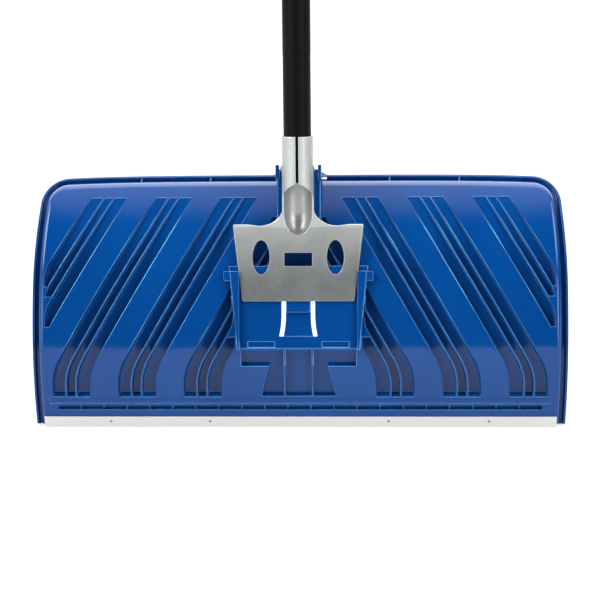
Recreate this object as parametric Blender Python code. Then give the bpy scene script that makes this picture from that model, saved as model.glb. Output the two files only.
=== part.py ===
"""Snow shovel: a ribbed poly pusher blade that a steel socket bracket slides into, on a steel
pole with a D-grip.

Everything on the blade is drawn in the blade frame: X across, Z up the blade, Y into it from its
back (the user's side).  The blade frame leans back by BRACKET_BEND, so that the pole is upright.
The moulded sheet is drawn flat and then sheared along Y onto a cylinder, because the ribs,
grooves and walls of a moulding all point the way that its mould opens.
"""
import math

import bmesh
import bpy
from mathutils import Matrix, Vector

# Driving dimensions, in metres
GAP = 0.0003
BRACKET_BEND = math.radians(12.0)

# Blade shell
HALF_WIDTH = 0.305
BLADE_TOP = 0.2905
FOOT_LOW = 0.0012
SHEET_LOW = 0.0012
SHEET = 0.003
CORNER_RADIUS = 0.033
CROWN = 0.0046
TAPER = 0.4
TAPER_START = 0.158
LOW_TAPER = 0.11
LOW_TAPER_START = 0.105
CURVE_RADIUS = 0.330
CURVE_MIDDLE = 0.122
LIP = 0.003
RIM_TOP = 0.008
RIM_FLOOR = 0.014
RIM_INSET = 0.008
EDGE_ROUND = 0.007
SLICE = 0.020

# Slanted grooves, measured across the blade at GROOVE_KNEE
GROOVE_LEAN = math.tan(math.radians(30.0))
GROOVE_KNEE = 0.062
KNEE_REACH = 0.016
GROOVE_PITCH = 0.0752
GROOVE_WALLS = (0.0885, 0.1044, 0.1159, 0.1307)
GROOVE_COUNT = 4
GROOVE_DEPTH = 0.010
GROOVE_SHALLOW = 0.001
GROOVE_LOW = 0.033
GROOVE_RAMP = 0.0055
GROOVE_FADE = 0.175
GROOVE_TOP = 0.262
GROOVE_SKIN = 0.0025
GROOVE_SIDE_LIMIT = 0.2890
RIB = 0.0018

# Slot and step along the lower edge
SLOT_HALF = 0.277
SLOT_LOW = 0.0182
SLOT_HIGH = 0.0232
SLOT_DEPTH = 0.006
SLOT_PITCH = 0.0258
SLOT_WEB = 0.0010
STEP_HALF = 0.284
STEP_LOW = 0.026
STEP_HIGH = 0.031
STEP_DEPTH = 0.0012

# Pocket for the bracket's plate
POCKET_LOW = 0.0885
POCKET_HIGH = 0.1755
POCKET_FLOOR = GAP
RAIL_CLEAR = 0.002
CHANNEL_CLEAR = 0.026
LEDGE = 0.002
LEDGE_HEIGHT = 0.0035
RAIL_IN_LOW = 0.0663
RAIL_IN_HIGH = 0.0747
RAIL_WALL = 0.0025
LIP_EDGE = 0.0667
LIP_UNDER = 0.0034
RAIL_TOP = 0.0056
BOX_IN = 0.070
BOX_REACH = 0.0844
BOX_LOW = 0.165
BOX_RISE = 0.0045
PAD_X = (0.0267, 0.0574)
PAD_Z = (0.0895, 0.0960)
PAD_DEPTH = 0.001
RECESS_DEPTH = 0.009
RECESS_LOW = 0.034
RECESS_STEP = 0.068
RECESS_WIDE = 0.0655
RECESS_NARROW = 0.033
RECESS_FOOT = 0.0425
RECESS_RIB_X = 0.0159

# Snap tongue and its latch
TONGUE_ROOT = 0.102
TONGUE_TIP = 0.156
TONGUE_THICK = 0.0026
TONGUE_ROOT_HALF = 0.0169
TONGUE_HALF = 0.0142
TONGUE_FLARE = 0.127
TONGUE_SLOT = 0.0046
LATCH_HALF = 0.0136
LATCH_LOW = 0.1292
LATCH_HIGH = 0.1418
LATCH_RISE = 0.0042
LATCH_FLAT = 0.002

# Channel that clears the back of the socket, and its two guide arms
CHANNEL_FLOOR = 0.0195
CHANNEL_HALF = 0.0212
CHANNEL_LOW = 0.161
CHANNEL_TOP = 0.293
CHANNEL_SKIN = 0.0025
ARM_IN = 0.0219
ARM_OUT = 0.0263
ARM_LOW = 0.281
ARM_TOP = 0.297
ARM_REACH = 0.0060

# Wear strip and its rivets
STRIP_HALF = 0.2925
STRIP_SHEET = 0.0012
STRIP_BACK = 0.0100
STRIP_FRONT = 0.0125
STRIP_FOLD = -0.0016
STRIP_ROUND = 0.0008
RIVET_X = (0.102, 0.216)
RIVET_UP = 0.0045
RIVET_RADIUS = 0.0009
RIVET_HEAD = 0.0014

# Bracket, pole and grip
PLATE_TOP_HALF = 0.0740
PLATE_LOW_HALF = 0.0640
PLATE_BEND = 0.0840
EAR_RISE = 0.0033
PLATE_SHEET = 0.0022
PLATE_REST = 0.1413
OVAL_X = 0.042
OVAL_Z = 0.050
OVAL_HALF = (0.0095, 0.0193)
PLATE_SLOT_HALF = (0.0157, 0.0075)
PLATE_SLOT_Z = 0.0475
SOCKET_RADIUS = 0.0178
SOCKET_TOP = 0.103
SLIT_HALF = 0.0017
SLIT_END = 0.0518
OPENING_FULL = 0.0323
OPENING_HALF = 0.0180
OPENING_REACH = 0.021
BOWL_REACH = 0.0112
BOWL_START = 0.0150
EAR_X = 0.052
SHOULDER_X = 0.045
SHOULDER_LOW = 0.0016
SHOULDER_RISE = 0.0215
POLE_RADIUS = 0.0156
POLE_WALL = 0.0013
POLE_LOW = 0.0520
POLE_HIGH = 1.075
SOCKET_RIVET_Z = 0.0675
CROSS_RIVET_RADIUS = 0.0024
CROSS_HEAD = 0.0040
CROSS_HEAD_RISE = 0.0019
GRIP_FERRULE = 0.0185
GRIP_LOW = 1.010
GRIP_YOKE = 1.085
GRIP_TOP = 1.205
GRIP_HALF = 0.052
GRIP_CORNER = 0.024
GRIP_BAR = (0.0135, 0.0150)
GRIP_SIDE = (0.0120, 0.0135)
GRIP_NECK = 0.012
GRIP_RIVET_Z = 1.035


# Small modelling helpers
def new_object(name, mesh, parent=None):
    thing = bpy.data.objects.new(name, mesh)
    bpy.context.collection.objects.link(thing)
    thing.parent = parent
    return thing


def new_frame(name, location, tilt=0.0, parent=None):
    frame = bpy.data.objects.new(name, None)
    bpy.context.collection.objects.link(frame)
    frame.empty_display_size = 0.03
    frame.location = location
    frame.rotation_euler = (tilt, 0.0, 0.0)
    frame.parent = parent
    return frame


def loft(name, loops, parent=None, closed=False):
    """A solid through loops of points; it is capped at both ends unless it closes on itself."""
    shape = bmesh.new()
    rings = [[shape.verts.new(point) for point in loop] for loop in loops]
    count = len(rings[0])
    joins = list(zip(rings, rings[1:]))
    if closed:
        joins.append((rings[-1], rings[0]))
    for low, high in joins:
        for index in range(count):
            after = (index + 1) % count
            shape.faces.new((low[index], low[after], high[after], high[index]))
    if not closed:
        shape.faces.new(rings[0])
        shape.faces.new(rings[-1])
    bmesh.ops.recalc_face_normals(shape, faces=shape.faces)
    mesh = bpy.data.meshes.new(name)
    shape.to_mesh(mesh)
    shape.free()
    return new_object(name, mesh, parent)


def prism(name, outline, near, far):
    """An outline of (x, z) points, pulled along Y from near to far."""
    loops = [[(x, y, z) for x, z in outline] for y in (near, far)]
    return loft(name, loops)


def block(name, low, high):
    outline = [(low[0], low[2]), (high[0], low[2]), (high[0], high[2]), (low[0], high[2])]
    return prism(name, outline, low[1], high[1])


def rod(name, radius, low, high, sides=32):
    """A cylinder along Z."""
    turns = [2 * math.pi * index / sides for index in range(sides)]
    loops = [[(radius * math.cos(a), radius * math.sin(a), z) for a in turns] for z in (low, high)]
    return loft(name, loops)


def turned(name, profile, sides=20):
    """A solid turned about Z from (radius, z) points, flat at both ends."""
    turns = [2 * math.pi * index / sides for index in range(sides)]
    loops = [[(r * math.cos(a), r * math.sin(a), z) for a in turns] for r, z in profile]
    return loft(name, loops)


def spread(first, last, count):
    """Evenly spaced values from first to last."""
    return [first + (last - first) * step / (count - 1) for step in range(count)]


def move(thing, matrix):
    thing.data.transform(matrix)
    return thing


def combine(target, tool, operation):
    """Apply one exact Boolean to the target and drop the tool."""
    cut = target.modifiers.new("cut", "BOOLEAN")
    cut.operation = operation
    cut.solver = "EXACT"
    cut.object = tool
    graph = bpy.context.evaluated_depsgraph_get()
    mesh = bpy.data.meshes.new_from_object(target.evaluated_get(graph))
    target.modifiers.clear()
    target.data = mesh
    bpy.data.objects.remove(tool)


def add(target, *tools):
    for tool in tools:
        combine(target, tool, "UNION")


def cut(target, *tools):
    for tool in tools:
        combine(target, tool, "DIFFERENCE")


def gather(name, things):
    """Join solids that don't touch into one tool."""
    shape = bmesh.new()
    for thing in things:
        shape.from_mesh(thing.data)
        bpy.data.objects.remove(thing)
    mesh = bpy.data.meshes.new(name)
    shape.to_mesh(mesh)
    shape.free()
    return new_object(name, mesh)


def both_sides(maker):
    """The solids that maker gives for the right side, and for the left."""
    return maker(1.0) + maker(-1.0)


# Blade outline and curve
def drop(z):
    """How far the curved sheet falls away from the flat pocket at height z."""
    return CURVE_RADIUS - math.sqrt(CURVE_RADIUS ** 2 - (z - CURVE_MIDDLE) ** 2)


def side_at(z, inset):
    """The blade's half width at height z; it narrows a little toward its top and its foot."""
    narrowing = TAPER * max(0.0, z - TAPER_START) ** 2
    narrowing += LOW_TAPER * max(0.0, LOW_TAPER_START - z) ** 2
    return HALF_WIDTH - inset - narrowing


def top_at(x, inset):
    return BLADE_TOP - inset - CROWN * (x / HALF_WIDTH) ** 4


def blade_outline(inset, low):
    radius = CORNER_RADIUS - inset
    centre_z = top_at(HALF_WIDTH - CORNER_RADIUS, inset) - radius
    centre_x = side_at(centre_z, inset) - radius
    right = [(side_at(z, inset), z) for z in (low, 0.04, 0.075, LOW_TAPER_START, TAPER_START, 0.19, 0.22)]
    for step in range(9):
        angle = math.radians(2.0 + 87.0 * step / 8)
        right.append((centre_x + radius * math.cos(angle), centre_z + radius * math.sin(angle)))
    right += [(x, top_at(x, inset)) for x in (0.24, 0.19, 0.12)]
    return right + [(-x, z) for x, z in reversed(right)]


def blade_shell():
    shell = prism("blade", blade_outline(0.0, FOOT_LOW), RIM_TOP, RIM_FLOOR + SHEET)
    cut(shell, prism("rim_channel", blade_outline(LIP, -0.02), -0.01, RIM_FLOOR))
    loops = [[(x, RIM_FLOOR + SHEET, z) for x, z in blade_outline(RIM_INSET, SHEET_LOW)]]
    for step in range(5):
        angle = math.radians(90.0 * step / 4)
        inset = RIM_INSET + EDGE_ROUND * (1 - math.cos(angle))
        y = EDGE_ROUND * (1 - math.sin(angle))
        loops.append([(x, y, z) for x, z in blade_outline(inset, SHEET_LOW)])
    add(shell, loft("tray", loops))
    hollow = [[(x, RIM_FLOOR + 0.02, z) for x, z in blade_outline(RIM_INSET + SHEET, -0.02)]]
    for step in range(3):
        angle = math.radians(90.0 * step / 2)
        inset = RIM_INSET + SHEET + 0.005 * (1 - math.cos(angle))
        y = SHEET + 0.005 * (1 - math.sin(angle))
        hollow.append([(x, y, z) for x, z in blade_outline(inset, -0.02)])
    cut(shell, loft("tray_hollow", hollow))
    return shell


# Slanted grooves
def lean(z):
    """How far a groove has moved toward the blade's middle at height z."""
    start = GROOVE_KNEE - KNEE_REACH
    if z <= start:
        return 0.0
    if z < GROOVE_KNEE + KNEE_REACH:
        return GROOVE_LEAN * (z - start) ** 2 / (4 * KNEE_REACH)
    return GROOVE_LEAN * (z - GROOVE_KNEE)


def groove_depth(z):
    """A groove is shallow at its foot and at its top, with a short ramp and a long one between."""
    ramp = min(1.0, (z - GROOVE_LOW) / GROOVE_RAMP)
    fade = min(1.0, max(0.0, (z - GROOVE_FADE) / (GROOVE_TOP - GROOVE_FADE)))
    return GROOVE_SHALLOW + (GROOVE_DEPTH - GROOVE_SHALLOW) * ramp * (1 - fade)


def rail_line(z):
    """The inner face of a pocket rail at height z."""
    share = (z - POCKET_LOW) / (POCKET_HIGH - POCKET_LOW)
    return RAIL_IN_LOW + share * (RAIL_IN_HIGH - RAIL_IN_LOW)


def groove_limits(z):
    """The least and the greatest X that a groove may reach at height z."""
    inner = rail_line(z) + RAIL_WALL + RAIL_CLEAR if z < POCKET_HIGH + 0.01 else CHANNEL_CLEAR
    return inner, side_at(z, 0.0) - HALF_WIDTH + GROOVE_SIDE_LIMIT


def groove_heights():
    heights = [GROOVE_LOW, GROOVE_LOW + GROOVE_RAMP]
    heights += [GROOVE_KNEE + KNEE_REACH * step / 2 for step in range(-2, 3)]
    count = 8
    start = GROOVE_KNEE + KNEE_REACH
    heights += [start + (GROOVE_TOP - start) * step / count for step in range(1, count + 1)]
    return heights


def groove_loops(side, inner, outer, skin, top):
    """Sections of one groove channel, from its lower end to its top."""
    rows = []
    for z in groove_heights():
        least, most = groove_limits(z)
        near = max(inner - lean(z), least)
        far = min(outer - lean(z), most)
        if far - near > 0.002:
            rows.append([near - skin, far + skin, groove_depth(z) + skin, z])
    if len(rows) > 1:
        rows[0][3] -= skin
        rows[-1][3] += skin
    loops = []
    for near, far, floor, z in rows:
        points = [(near, top), (far, top), (far, floor), (near, floor)]
        loops.append([(side * x, y, z) for x, y in points])
    return loops


def grooves(shell):
    walls = [[wall + GROOVE_PITCH * index for wall in GROOVE_WALLS] for index in range(GROOVE_COUNT)]

    def skins(side):
        return [
            loft("groove_skin", groove_loops(side, wall[0], wall[3], GROOVE_SKIN, 0.001))
            for wall in walls
        ]

    def channels(side):
        made = []
        for wall in walls:
            edges = [wall[0], wall[1] - RIB / 2, wall[1] + RIB / 2]
            edges += [wall[2] - RIB / 2, wall[2] + RIB / 2, wall[3]]
            for inner, outer in zip(edges[::2], edges[1::2]):
                loops = groove_loops(side, inner, outer, 0.0, -0.01)
                if len(loops) > 1:
                    made.append(loft("groove", loops))
        return made

    add(shell, gather("groove_skins", both_sides(skins)))
    cut(shell, gather("groove_channels", both_sides(channels)))


# Lower edge
def lower_edge(shell):
    skin = GROOVE_SKIN
    low = (-SLOT_HALF - skin, 0.001, SLOT_LOW - skin)
    high = (SLOT_HALF + skin, SLOT_DEPTH + skin, SLOT_HIGH + skin)
    add(shell, block("slot_skin", low, high))
    count = round(2 * SLOT_HALF / SLOT_PITCH)
    pitch = 2 * SLOT_HALF / count
    cells = []
    for index in range(count):
        left = -SLOT_HALF + pitch * index + SLOT_WEB / 2
        right = left + pitch - SLOT_WEB
        cells.append(block("cell", (left, -0.01, SLOT_LOW), (right, SLOT_DEPTH, SLOT_HIGH)))
    cut(shell, gather("slot_cells", cells))
    cut(shell, block("step", (-STEP_HALF, -0.01, STEP_LOW), (STEP_HALF, STEP_DEPTH, STEP_HIGH)))


# Recess under the pocket
def recess(shell):
    """A wide band under the ledge and a trapezoid below it, split by two ribs."""
    high = POCKET_LOW - LEDGE
    band = RECESS_STEP
    low = RECESS_LOW
    skin = GROOVE_SKIN
    half = [(RAIL_IN_LOW - 0.0004, high), (RECESS_WIDE, band), (RECESS_NARROW, band), (RECESS_FOOT, low)]
    around = [(half[0][0] + skin, high + skin), (RECESS_WIDE + skin, band - skin)]
    around += [(RECESS_NARROW + 3 * skin, band - skin), (RECESS_FOOT + 2 * skin, low - skin)]
    outline = around + [(-x, z) for x, z in reversed(around)]
    add(shell, prism("recess_skin", outline, 0.001, RECESS_DEPTH + skin))
    near = RECESS_RIB_X - RIB / 2
    middle = [(-near, high), (near, high), (near, low), (-near, low)]
    parts = [prism("recess", middle, -0.01, RECESS_DEPTH)]
    for side in (1.0, -1.0):
        far = RECESS_RIB_X + RIB / 2
        points = half + [(far, low), (far, high)]
        parts.append(prism("recess", [(side * x, z) for x, z in points], -0.01, RECESS_DEPTH))
    cut(shell, gather("recesses", parts))


def curve_sheet(shell):
    """Slice the flat sheet across and shear it onto its curve."""
    shape = bmesh.new()
    shape.from_mesh(shell.data)
    for step in range(1, int(BLADE_TOP / SLICE) + 1):
        everything = shape.verts[:] + shape.edges[:] + shape.faces[:]
        bmesh.ops.bisect_plane(
            shape, geom=everything, dist=1e-6, plane_co=(0, 0, SLICE * step), plane_no=(0, 0, 1)
        )
    bmesh.ops.triangulate(shape, faces=shape.faces)
    for vertex in shape.verts:
        vertex.co.y += drop(vertex.co.z)
    shape.to_mesh(shell.data)
    shape.free()


# Pocket, channel and guide arms, which stay flat
def pocket(shell):
    low = POCKET_LOW - LEDGE
    high = POCKET_HIGH + 0.006
    reach = RAIL_WALL + 0.001
    floor = []
    for z in spread(low, high, 6):
        half = rail_line(z) + reach
        back = drop(z) + 0.0015
        floor.append([(-half, POCKET_FLOOR, z), (half, POCKET_FLOOR, z),
                      (half, back, z), (-half, back, z)])
    add(shell, loft("pocket_floor", floor))

    def rails(side):
        loops = []
        for z in (low, POCKET_HIGH):
            outer = rail_line(z) + RAIL_WALL
            points = [(LIP_EDGE, -RAIL_TOP), (outer, -RAIL_TOP), (outer, 0.002), (LIP_EDGE, 0.002)]
            loops.append([(side * x, y, z) for x, y in points])
        return [loft("rail", loops)]

    def boxes(side):
        near, far = sorted((side * BOX_IN, side * BOX_REACH))
        return [block("box", (near, -BOX_RISE, BOX_LOW), (far, drop(BOX_LOW) + SHEET / 2, POCKET_HIGH))]

    add(shell, *both_sides(rails))
    add(shell, *both_sides(boxes))
    wide = RAIL_IN_LOW + 0.001
    add(shell, block("ledge", (-wide, -LEDGE_HEIGHT, low), (wide, 0.001, POCKET_LOW)))
    path = []
    for z in (POCKET_LOW, POCKET_HIGH + 0.03):
        half = rail_line(z)
        path.append([(-half, -LIP_UNDER, z), (half, -LIP_UNDER, z),
                     (half, POCKET_FLOOR, z), (-half, POCKET_FLOOR, z)])
    cut(shell, loft("plate_path", path))
    pads = []
    for side in (1.0, -1.0):
        near, far = sorted((side * PAD_X[0], side * PAD_X[1]))
        low_corner = (near, -0.001, PAD_Z[0])
        pads.append(block("pad", low_corner, (far, POCKET_FLOOR + PAD_DEPTH, PAD_Z[1])))
    cut(shell, gather("pads", pads))


def channel(shell):
    """The flat floor behind the socket: cut into the sheet low down, and standing on it above."""
    skin = CHANNEL_SKIN
    out = CHANNEL_HALF + skin
    deep = CHANNEL_FLOOR + skin
    meet = CURVE_MIDDLE + math.sqrt(CURVE_RADIUS ** 2 - (CURVE_RADIUS - CHANNEL_FLOOR) ** 2)
    trough = []
    for z in spread(CHANNEL_LOW - skin, meet + 0.001, 6):
        near = drop(z) + SHEET / 2
        trough.append([(-out, near, z), (out, near, z), (out, deep, z), (-out, deep, z)])
    add(shell, loft("trough", trough))
    wide = out + 0.0006
    ramp = []
    for z in spread(meet - 0.002, CHANNEL_TOP, 7):
        back = drop(z) + (0.0025 if z < BLADE_TOP - RIM_INSET else RIM_FLOOR + 0.001)
        ramp.append([(-wide, CHANNEL_FLOOR, z), (wide, CHANNEL_FLOOR, z),
                     (wide, back, z), (-wide, back, z)])
    add(shell, loft("ramp", ramp))
    arms = []
    for side in (1.0, -1.0):
        near, far = sorted((side * ARM_IN, side * ARM_OUT))
        back = drop(ARM_LOW) + 0.016
        arms.append(block("arm", (near, ARM_REACH, ARM_LOW), (far, back, ARM_TOP)))
    add(shell, *arms)
    path_low = (-CHANNEL_HALF, -0.02, CHANNEL_LOW)
    cut(shell, block("socket_path", path_low, (CHANNEL_HALF, CHANNEL_FLOOR, ARM_TOP + 0.01)))
    half = CHANNEL_HALF - 0.001
    cut(shell, block("ramp_hollow", (-half, deep, meet + 0.009), (half, 0.09, BLADE_TOP - 0.004)))


def tongue_outline(grow, low, high):
    """Narrow at its tip and flared toward its root; grow widens it on both sides."""
    half = TONGUE_HALF + grow
    wide = [(TONGUE_ROOT_HALF + grow, low), (half, TONGUE_FLARE), (half, high)]
    return wide + [(-x, z) for x, z in reversed(wide)]


def tongue_window(shell):
    outline = tongue_outline(TONGUE_SLOT, TONGUE_ROOT, TONGUE_TIP + 0.002)
    cut(shell, prism("tongue_window", outline, -0.01, 0.012))


# Lower edge line, where the wear strip and its rivets sit
def edge_frame():
    """A frame at the sheet's lower edge: X across, Z up the sheet, Y into it."""
    slope = math.asin((CURVE_MIDDLE - SHEET_LOW) / CURVE_RADIUS)
    place = Matrix.Translation((0.0, drop(SHEET_LOW), SHEET_LOW))
    return place @ Matrix.Rotation(slope, 4, "X")


def sheet_across():
    """The sheet's thickness measured square to its lower edge."""
    return SHEET * math.cos(math.asin((CURVE_MIDDLE - SHEET_LOW) / CURVE_RADIUS))


def strip_seat(shell):
    """Clear the front of the sheet, corner fillets too, where the wear strip's front leg lies."""
    half = STRIP_HALF + 2 * GAP
    seat = block("strip_seat", (-half, sheet_across(), -0.01), (half, 0.02, STRIP_FRONT + GAP))
    cut(shell, move(seat, edge_frame()))


def rivet_places():
    return [x * side for side in (-1.0, 1.0) for x in RIVET_X]


def rivet_turn(x):
    """Turns a piece drawn along Z to lie through the sheet at its rivet row."""
    return Matrix.Translation((x, 0.0, RIVET_UP)) @ Matrix.Rotation(-math.pi / 2, 4, "X")


def rivet_holes(thing):
    holes = []
    for x in rivet_places():
        hole = rod("hole", RIVET_RADIUS + GAP, -0.01, 0.012, 12)
        holes.append(move(hole, edge_frame() @ rivet_turn(x)))
    cut(thing, gather("rivet_holes", holes))


def make_blade(parent):
    shell = blade_shell()
    grooves(shell)
    lower_edge(shell)
    recess(shell)
    curve_sheet(shell)
    pocket(shell)
    channel(shell)
    tongue_window(shell)
    strip_seat(shell)
    rivet_holes(shell)
    shell.name = "blade"
    shell.parent = parent
    return shell


def make_tongue(parent):
    """The snap tongue, with its origin on the line that it bends about."""
    outline = tongue_outline(0.0, TONGUE_ROOT + GAP, TONGUE_TIP)
    tongue = prism("snap_tongue", outline, POCKET_FLOOR, POCKET_FLOOR + TONGUE_THICK)
    wedge = [(0.001, LATCH_LOW), (-LATCH_RISE, LATCH_LOW), (-LATCH_RISE, LATCH_LOW + LATCH_FLAT),
             (POCKET_FLOOR, LATCH_HIGH), (0.001, LATCH_HIGH)]
    add(tongue, loft("latch", [[(x, y, z) for y, z in wedge] for x in (-LATCH_HALF, LATCH_HALF)]))
    root = Vector((0.0, POCKET_FLOOR + TONGUE_THICK / 2, TONGUE_ROOT))
    move(tongue, Matrix.Translation(-root))
    tongue.parent = parent
    return tongue


def make_strip(parent):
    """A folded strip, open upward, around the sheet's lower edge."""
    near = -GAP
    far = sheet_across() + GAP
    out = STRIP_SHEET
    low = STRIP_FOLD
    section = [(near - out, STRIP_BACK), (near - out, low), (near - out + STRIP_ROUND, low - out),
               (far + out - STRIP_ROUND, low - out), (far + out, low), (far + out, STRIP_FRONT),
               (far, STRIP_FRONT), (far, low), (near, low), (near, STRIP_BACK)]
    strip = loft("wear_strip", [[(x, y, z) for y, z in section] for x in (-STRIP_HALF, STRIP_HALF)])
    move(strip, edge_frame())
    rivet_holes(strip)
    strip.parent = parent
    return strip


def make_strip_rivet(number, x, parent):
    front = SHEET + STRIP_SHEET + 2 * GAP
    back = -STRIP_SHEET - 2 * GAP
    head = [(RIVET_HEAD / 2, back - 0.0006), (RIVET_HEAD - 0.0001, back - 0.0003), (RIVET_HEAD, back)]
    bulge = [(RIVET_HEAD, front), (RIVET_HEAD, front + 0.0006), (RIVET_HEAD / 2, front + 0.0012)]
    profile = head + [(RIVET_RADIUS, back), (RIVET_RADIUS, front)] + bulge
    rivet = turned(f"strip_rivet_{number}", profile, 16)
    frame = new_frame(f"strip_rivet_{number}_seat", (0, 0, 0), 0.0, parent)
    frame.matrix_local = edge_frame() @ rivet_turn(x)
    rivet.parent = frame
    return rivet


# Cross rivets and their holes
def across(z):
    """Turns a piece drawn along Z to lie along X at height z."""
    return Matrix.Translation((0, 0, z)) @ Matrix.Rotation(math.pi / 2, 4, "Y")


def cross_hole(z):
    return move(rod("rivet_hole", CROSS_RIVET_RADIUS + GAP, -0.03, 0.03, 16), across(z))


# Bracket
def socket_opening():
    """The slit and the almond opening under it, as a cutter over the front of the socket."""
    right = [(SLIT_HALF, SOCKET_TOP + 0.01), (SLIT_HALF, SLIT_END - 0.0005)]
    for step in range(1, 11):
        share = step / 10
        half = OPENING_HALF * math.sin(math.pi / 2 * share ** 0.8)
        right.append((max(half, SLIT_HALF + 0.0001), SLIT_END - share * (SLIT_END - OPENING_FULL)))
    right += [(OPENING_REACH, 0.028), (OPENING_REACH, -0.0002)]
    outline = right + [(-x, z) for x, z in reversed(right)]
    return prism("socket_opening", outline, -0.03, -PLATE_SHEET / 2)


def bowl(name, radius, reach, high):
    """A rod along Z; below BOWL_START it narrows along an ellipse that ends reach below the bend."""
    profile = []
    for step in range(1, 9):
        angle = math.radians(90.0 * step / 8)
        profile.append((radius * math.sin(angle), BOWL_START - (BOWL_START + reach) * math.cos(angle)))
    profile.append((radius, high))
    return turned(name, profile, 32)


def shoulders():
    """The plate's upper edge, beyond the bend, with the fillets that run up to the socket."""
    right = [(PLATE_TOP_HALF - 0.0005, -0.0008), (PLATE_TOP_HALF - 0.0002, EAR_RISE), (EAR_X, EAR_RISE),
             (SHOULDER_X, SHOULDER_LOW)]
    for step in range(1, 9):
        angle = math.radians(90.0 * step / 8)
        x = SHOULDER_X - (SHOULDER_X - SOCKET_RADIUS + 0.0004) * math.sin(angle)
        right.append((x, SHOULDER_LOW + SHOULDER_RISE * (1 - math.cos(angle))))
    outline = right + [(-x, z) for x, z in reversed(right)]
    return prism("shoulders", outline, -PLATE_SHEET / 2, PLATE_SHEET / 2)


def make_bracket(parent):
    """Drawn in the socket's frame, with its origin on the bend, and Z up the socket."""
    flat = Matrix.Rotation(-BRACKET_BEND, 4, "X")
    outline = [(-PLATE_LOW_HALF, -PLATE_BEND), (PLATE_LOW_HALF, -PLATE_BEND),
               (PLATE_TOP_HALF - 0.0004, 0.0005), (-PLATE_TOP_HALF + 0.0004, 0.0005)]
    bracket = prism("socket_bracket", outline, -PLATE_SHEET / 2, PLATE_SHEET / 2)
    low = OVAL_Z - PLATE_BEND
    ovals = []
    wide, tall = OVAL_HALF
    turns = [2 * math.pi * step / 28 for step in range(28)]
    for middle in (OVAL_X, -OVAL_X):
        points = [(middle + wide * math.cos(a), low + tall * math.sin(a)) for a in turns]
        ovals.append(prism("oval", points, -0.01, 0.01))
    middle = PLATE_SLOT_Z - PLATE_BEND
    ovals.append(block("slot", (-PLATE_SLOT_HALF[0], -0.01, middle - PLATE_SLOT_HALF[1]),
                       (PLATE_SLOT_HALF[0], 0.01, middle + PLATE_SLOT_HALF[1])))
    cut(bracket, gather("plate_holes", ovals))
    move(bracket, flat)
    add(bracket, shoulders())
    add(bracket, bowl("socket", SOCKET_RADIUS, BOWL_REACH, SOCKET_TOP))
    cut(bracket, bowl("bore", POLE_RADIUS + GAP, BOWL_REACH - PLATE_SHEET, SOCKET_TOP + 0.01))
    cut(bracket, socket_opening())
    front_low = (-OPENING_REACH, -0.03, -0.02)
    cut(bracket, move(block("bowl_front", front_low, (OPENING_REACH, -PLATE_SHEET / 2, 0.0)), flat))
    cut(bracket, cross_hole(SOCKET_RIVET_Z))
    bracket.parent = parent
    return bracket


def cross_rivet(name, reach, z, parent):
    """A rivet across the pole, drawn along Z and turned to lie along X."""
    head = [(CROSS_RIVET_RADIUS, reach), (CROSS_HEAD, reach)]
    head.append((CROSS_HEAD * 0.85, reach + CROSS_HEAD_RISE * 0.6))
    head.append((CROSS_HEAD * 0.4, reach + CROSS_HEAD_RISE))
    rivet = turned(name, [(r, -z) for r, z in reversed(head)] + head, 16)
    rivet.parent = parent
    rivet.location = (0.0, 0.0, z)
    rivet.rotation_euler = (0.0, math.pi / 2, 0.0)
    return rivet


def make_pole(parent):
    pole = rod("pole", POLE_RADIUS, POLE_LOW, POLE_HIGH, 32)
    cut(pole, rod("pole_bore", POLE_RADIUS - POLE_WALL, POLE_LOW - 0.01, POLE_HIGH + 0.01, 32))
    cut(pole, gather("pole_holes", [cross_hole(z) for z in (SOCKET_RIVET_Z, GRIP_RIVET_Z)]))
    pole.parent = parent
    return pole


def grip_path():
    """The ring's middle line, as (x, z) points: a straight top with round corners and a round foot."""
    top = GRIP_TOP - 0.014
    shoulder = top - GRIP_CORNER
    path = []
    for step in range(7):
        angle = math.radians(90.0 * step / 6)
        x = GRIP_HALF - GRIP_CORNER + GRIP_CORNER * math.cos(angle)
        path.append((x, shoulder + GRIP_CORNER * math.sin(angle)))
    path.append((0.0, top))
    path += [(-x, z) for x, z in reversed(path[:-1])]
    middle = shoulder - 0.012
    drop_to_foot = middle - GRIP_YOKE - 0.010
    for step in range(1, 12):
        angle = math.radians(180.0 + 180.0 * step / 12)
        path.append(((GRIP_HALF + 0.002) * math.cos(angle), middle + drop_to_foot * math.sin(angle)))
    return path


def grip_loop():
    """The ring of the D-grip: an oval section swept around a D, thicker along its top."""
    path = grip_path()
    loops = []
    for index, (x, z) in enumerate(path):
        before = Vector(path[index - 1])
        after = Vector(path[(index + 1) % len(path)])
        along = (after - before).normalized()
        out = Vector((along.y, -along.x))
        wide, deep = GRIP_BAR if z > GRIP_TOP - 0.018 else GRIP_SIDE
        loop = []
        for turn in range(14):
            angle = 2 * math.pi * turn / 14
            shift = out * wide * math.cos(angle)
            loop.append((x + shift.x, deep * math.sin(angle), z + shift.y))
        loops.append(loop)
    return loft("d_grip", loops, closed=True)


def make_grip(parent):
    grip = grip_loop()
    profile = [(GRIP_FERRULE - 0.0015, GRIP_LOW), (GRIP_FERRULE, GRIP_LOW + 0.0015),
               (GRIP_FERRULE + 0.0005, GRIP_YOKE - 0.012), (GRIP_FERRULE + 0.001, GRIP_YOKE + 0.004),
               (GRIP_NECK, GRIP_YOKE + 0.0125)]
    add(grip, turned("ferrule", profile, 32))
    cut(grip, rod("grip_bore", POLE_RADIUS + GAP, GRIP_LOW - 0.01, POLE_HIGH + GAP, 32))
    cut(grip, cross_hole(GRIP_RIVET_Z))
    grip.parent = parent
    return grip


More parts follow.
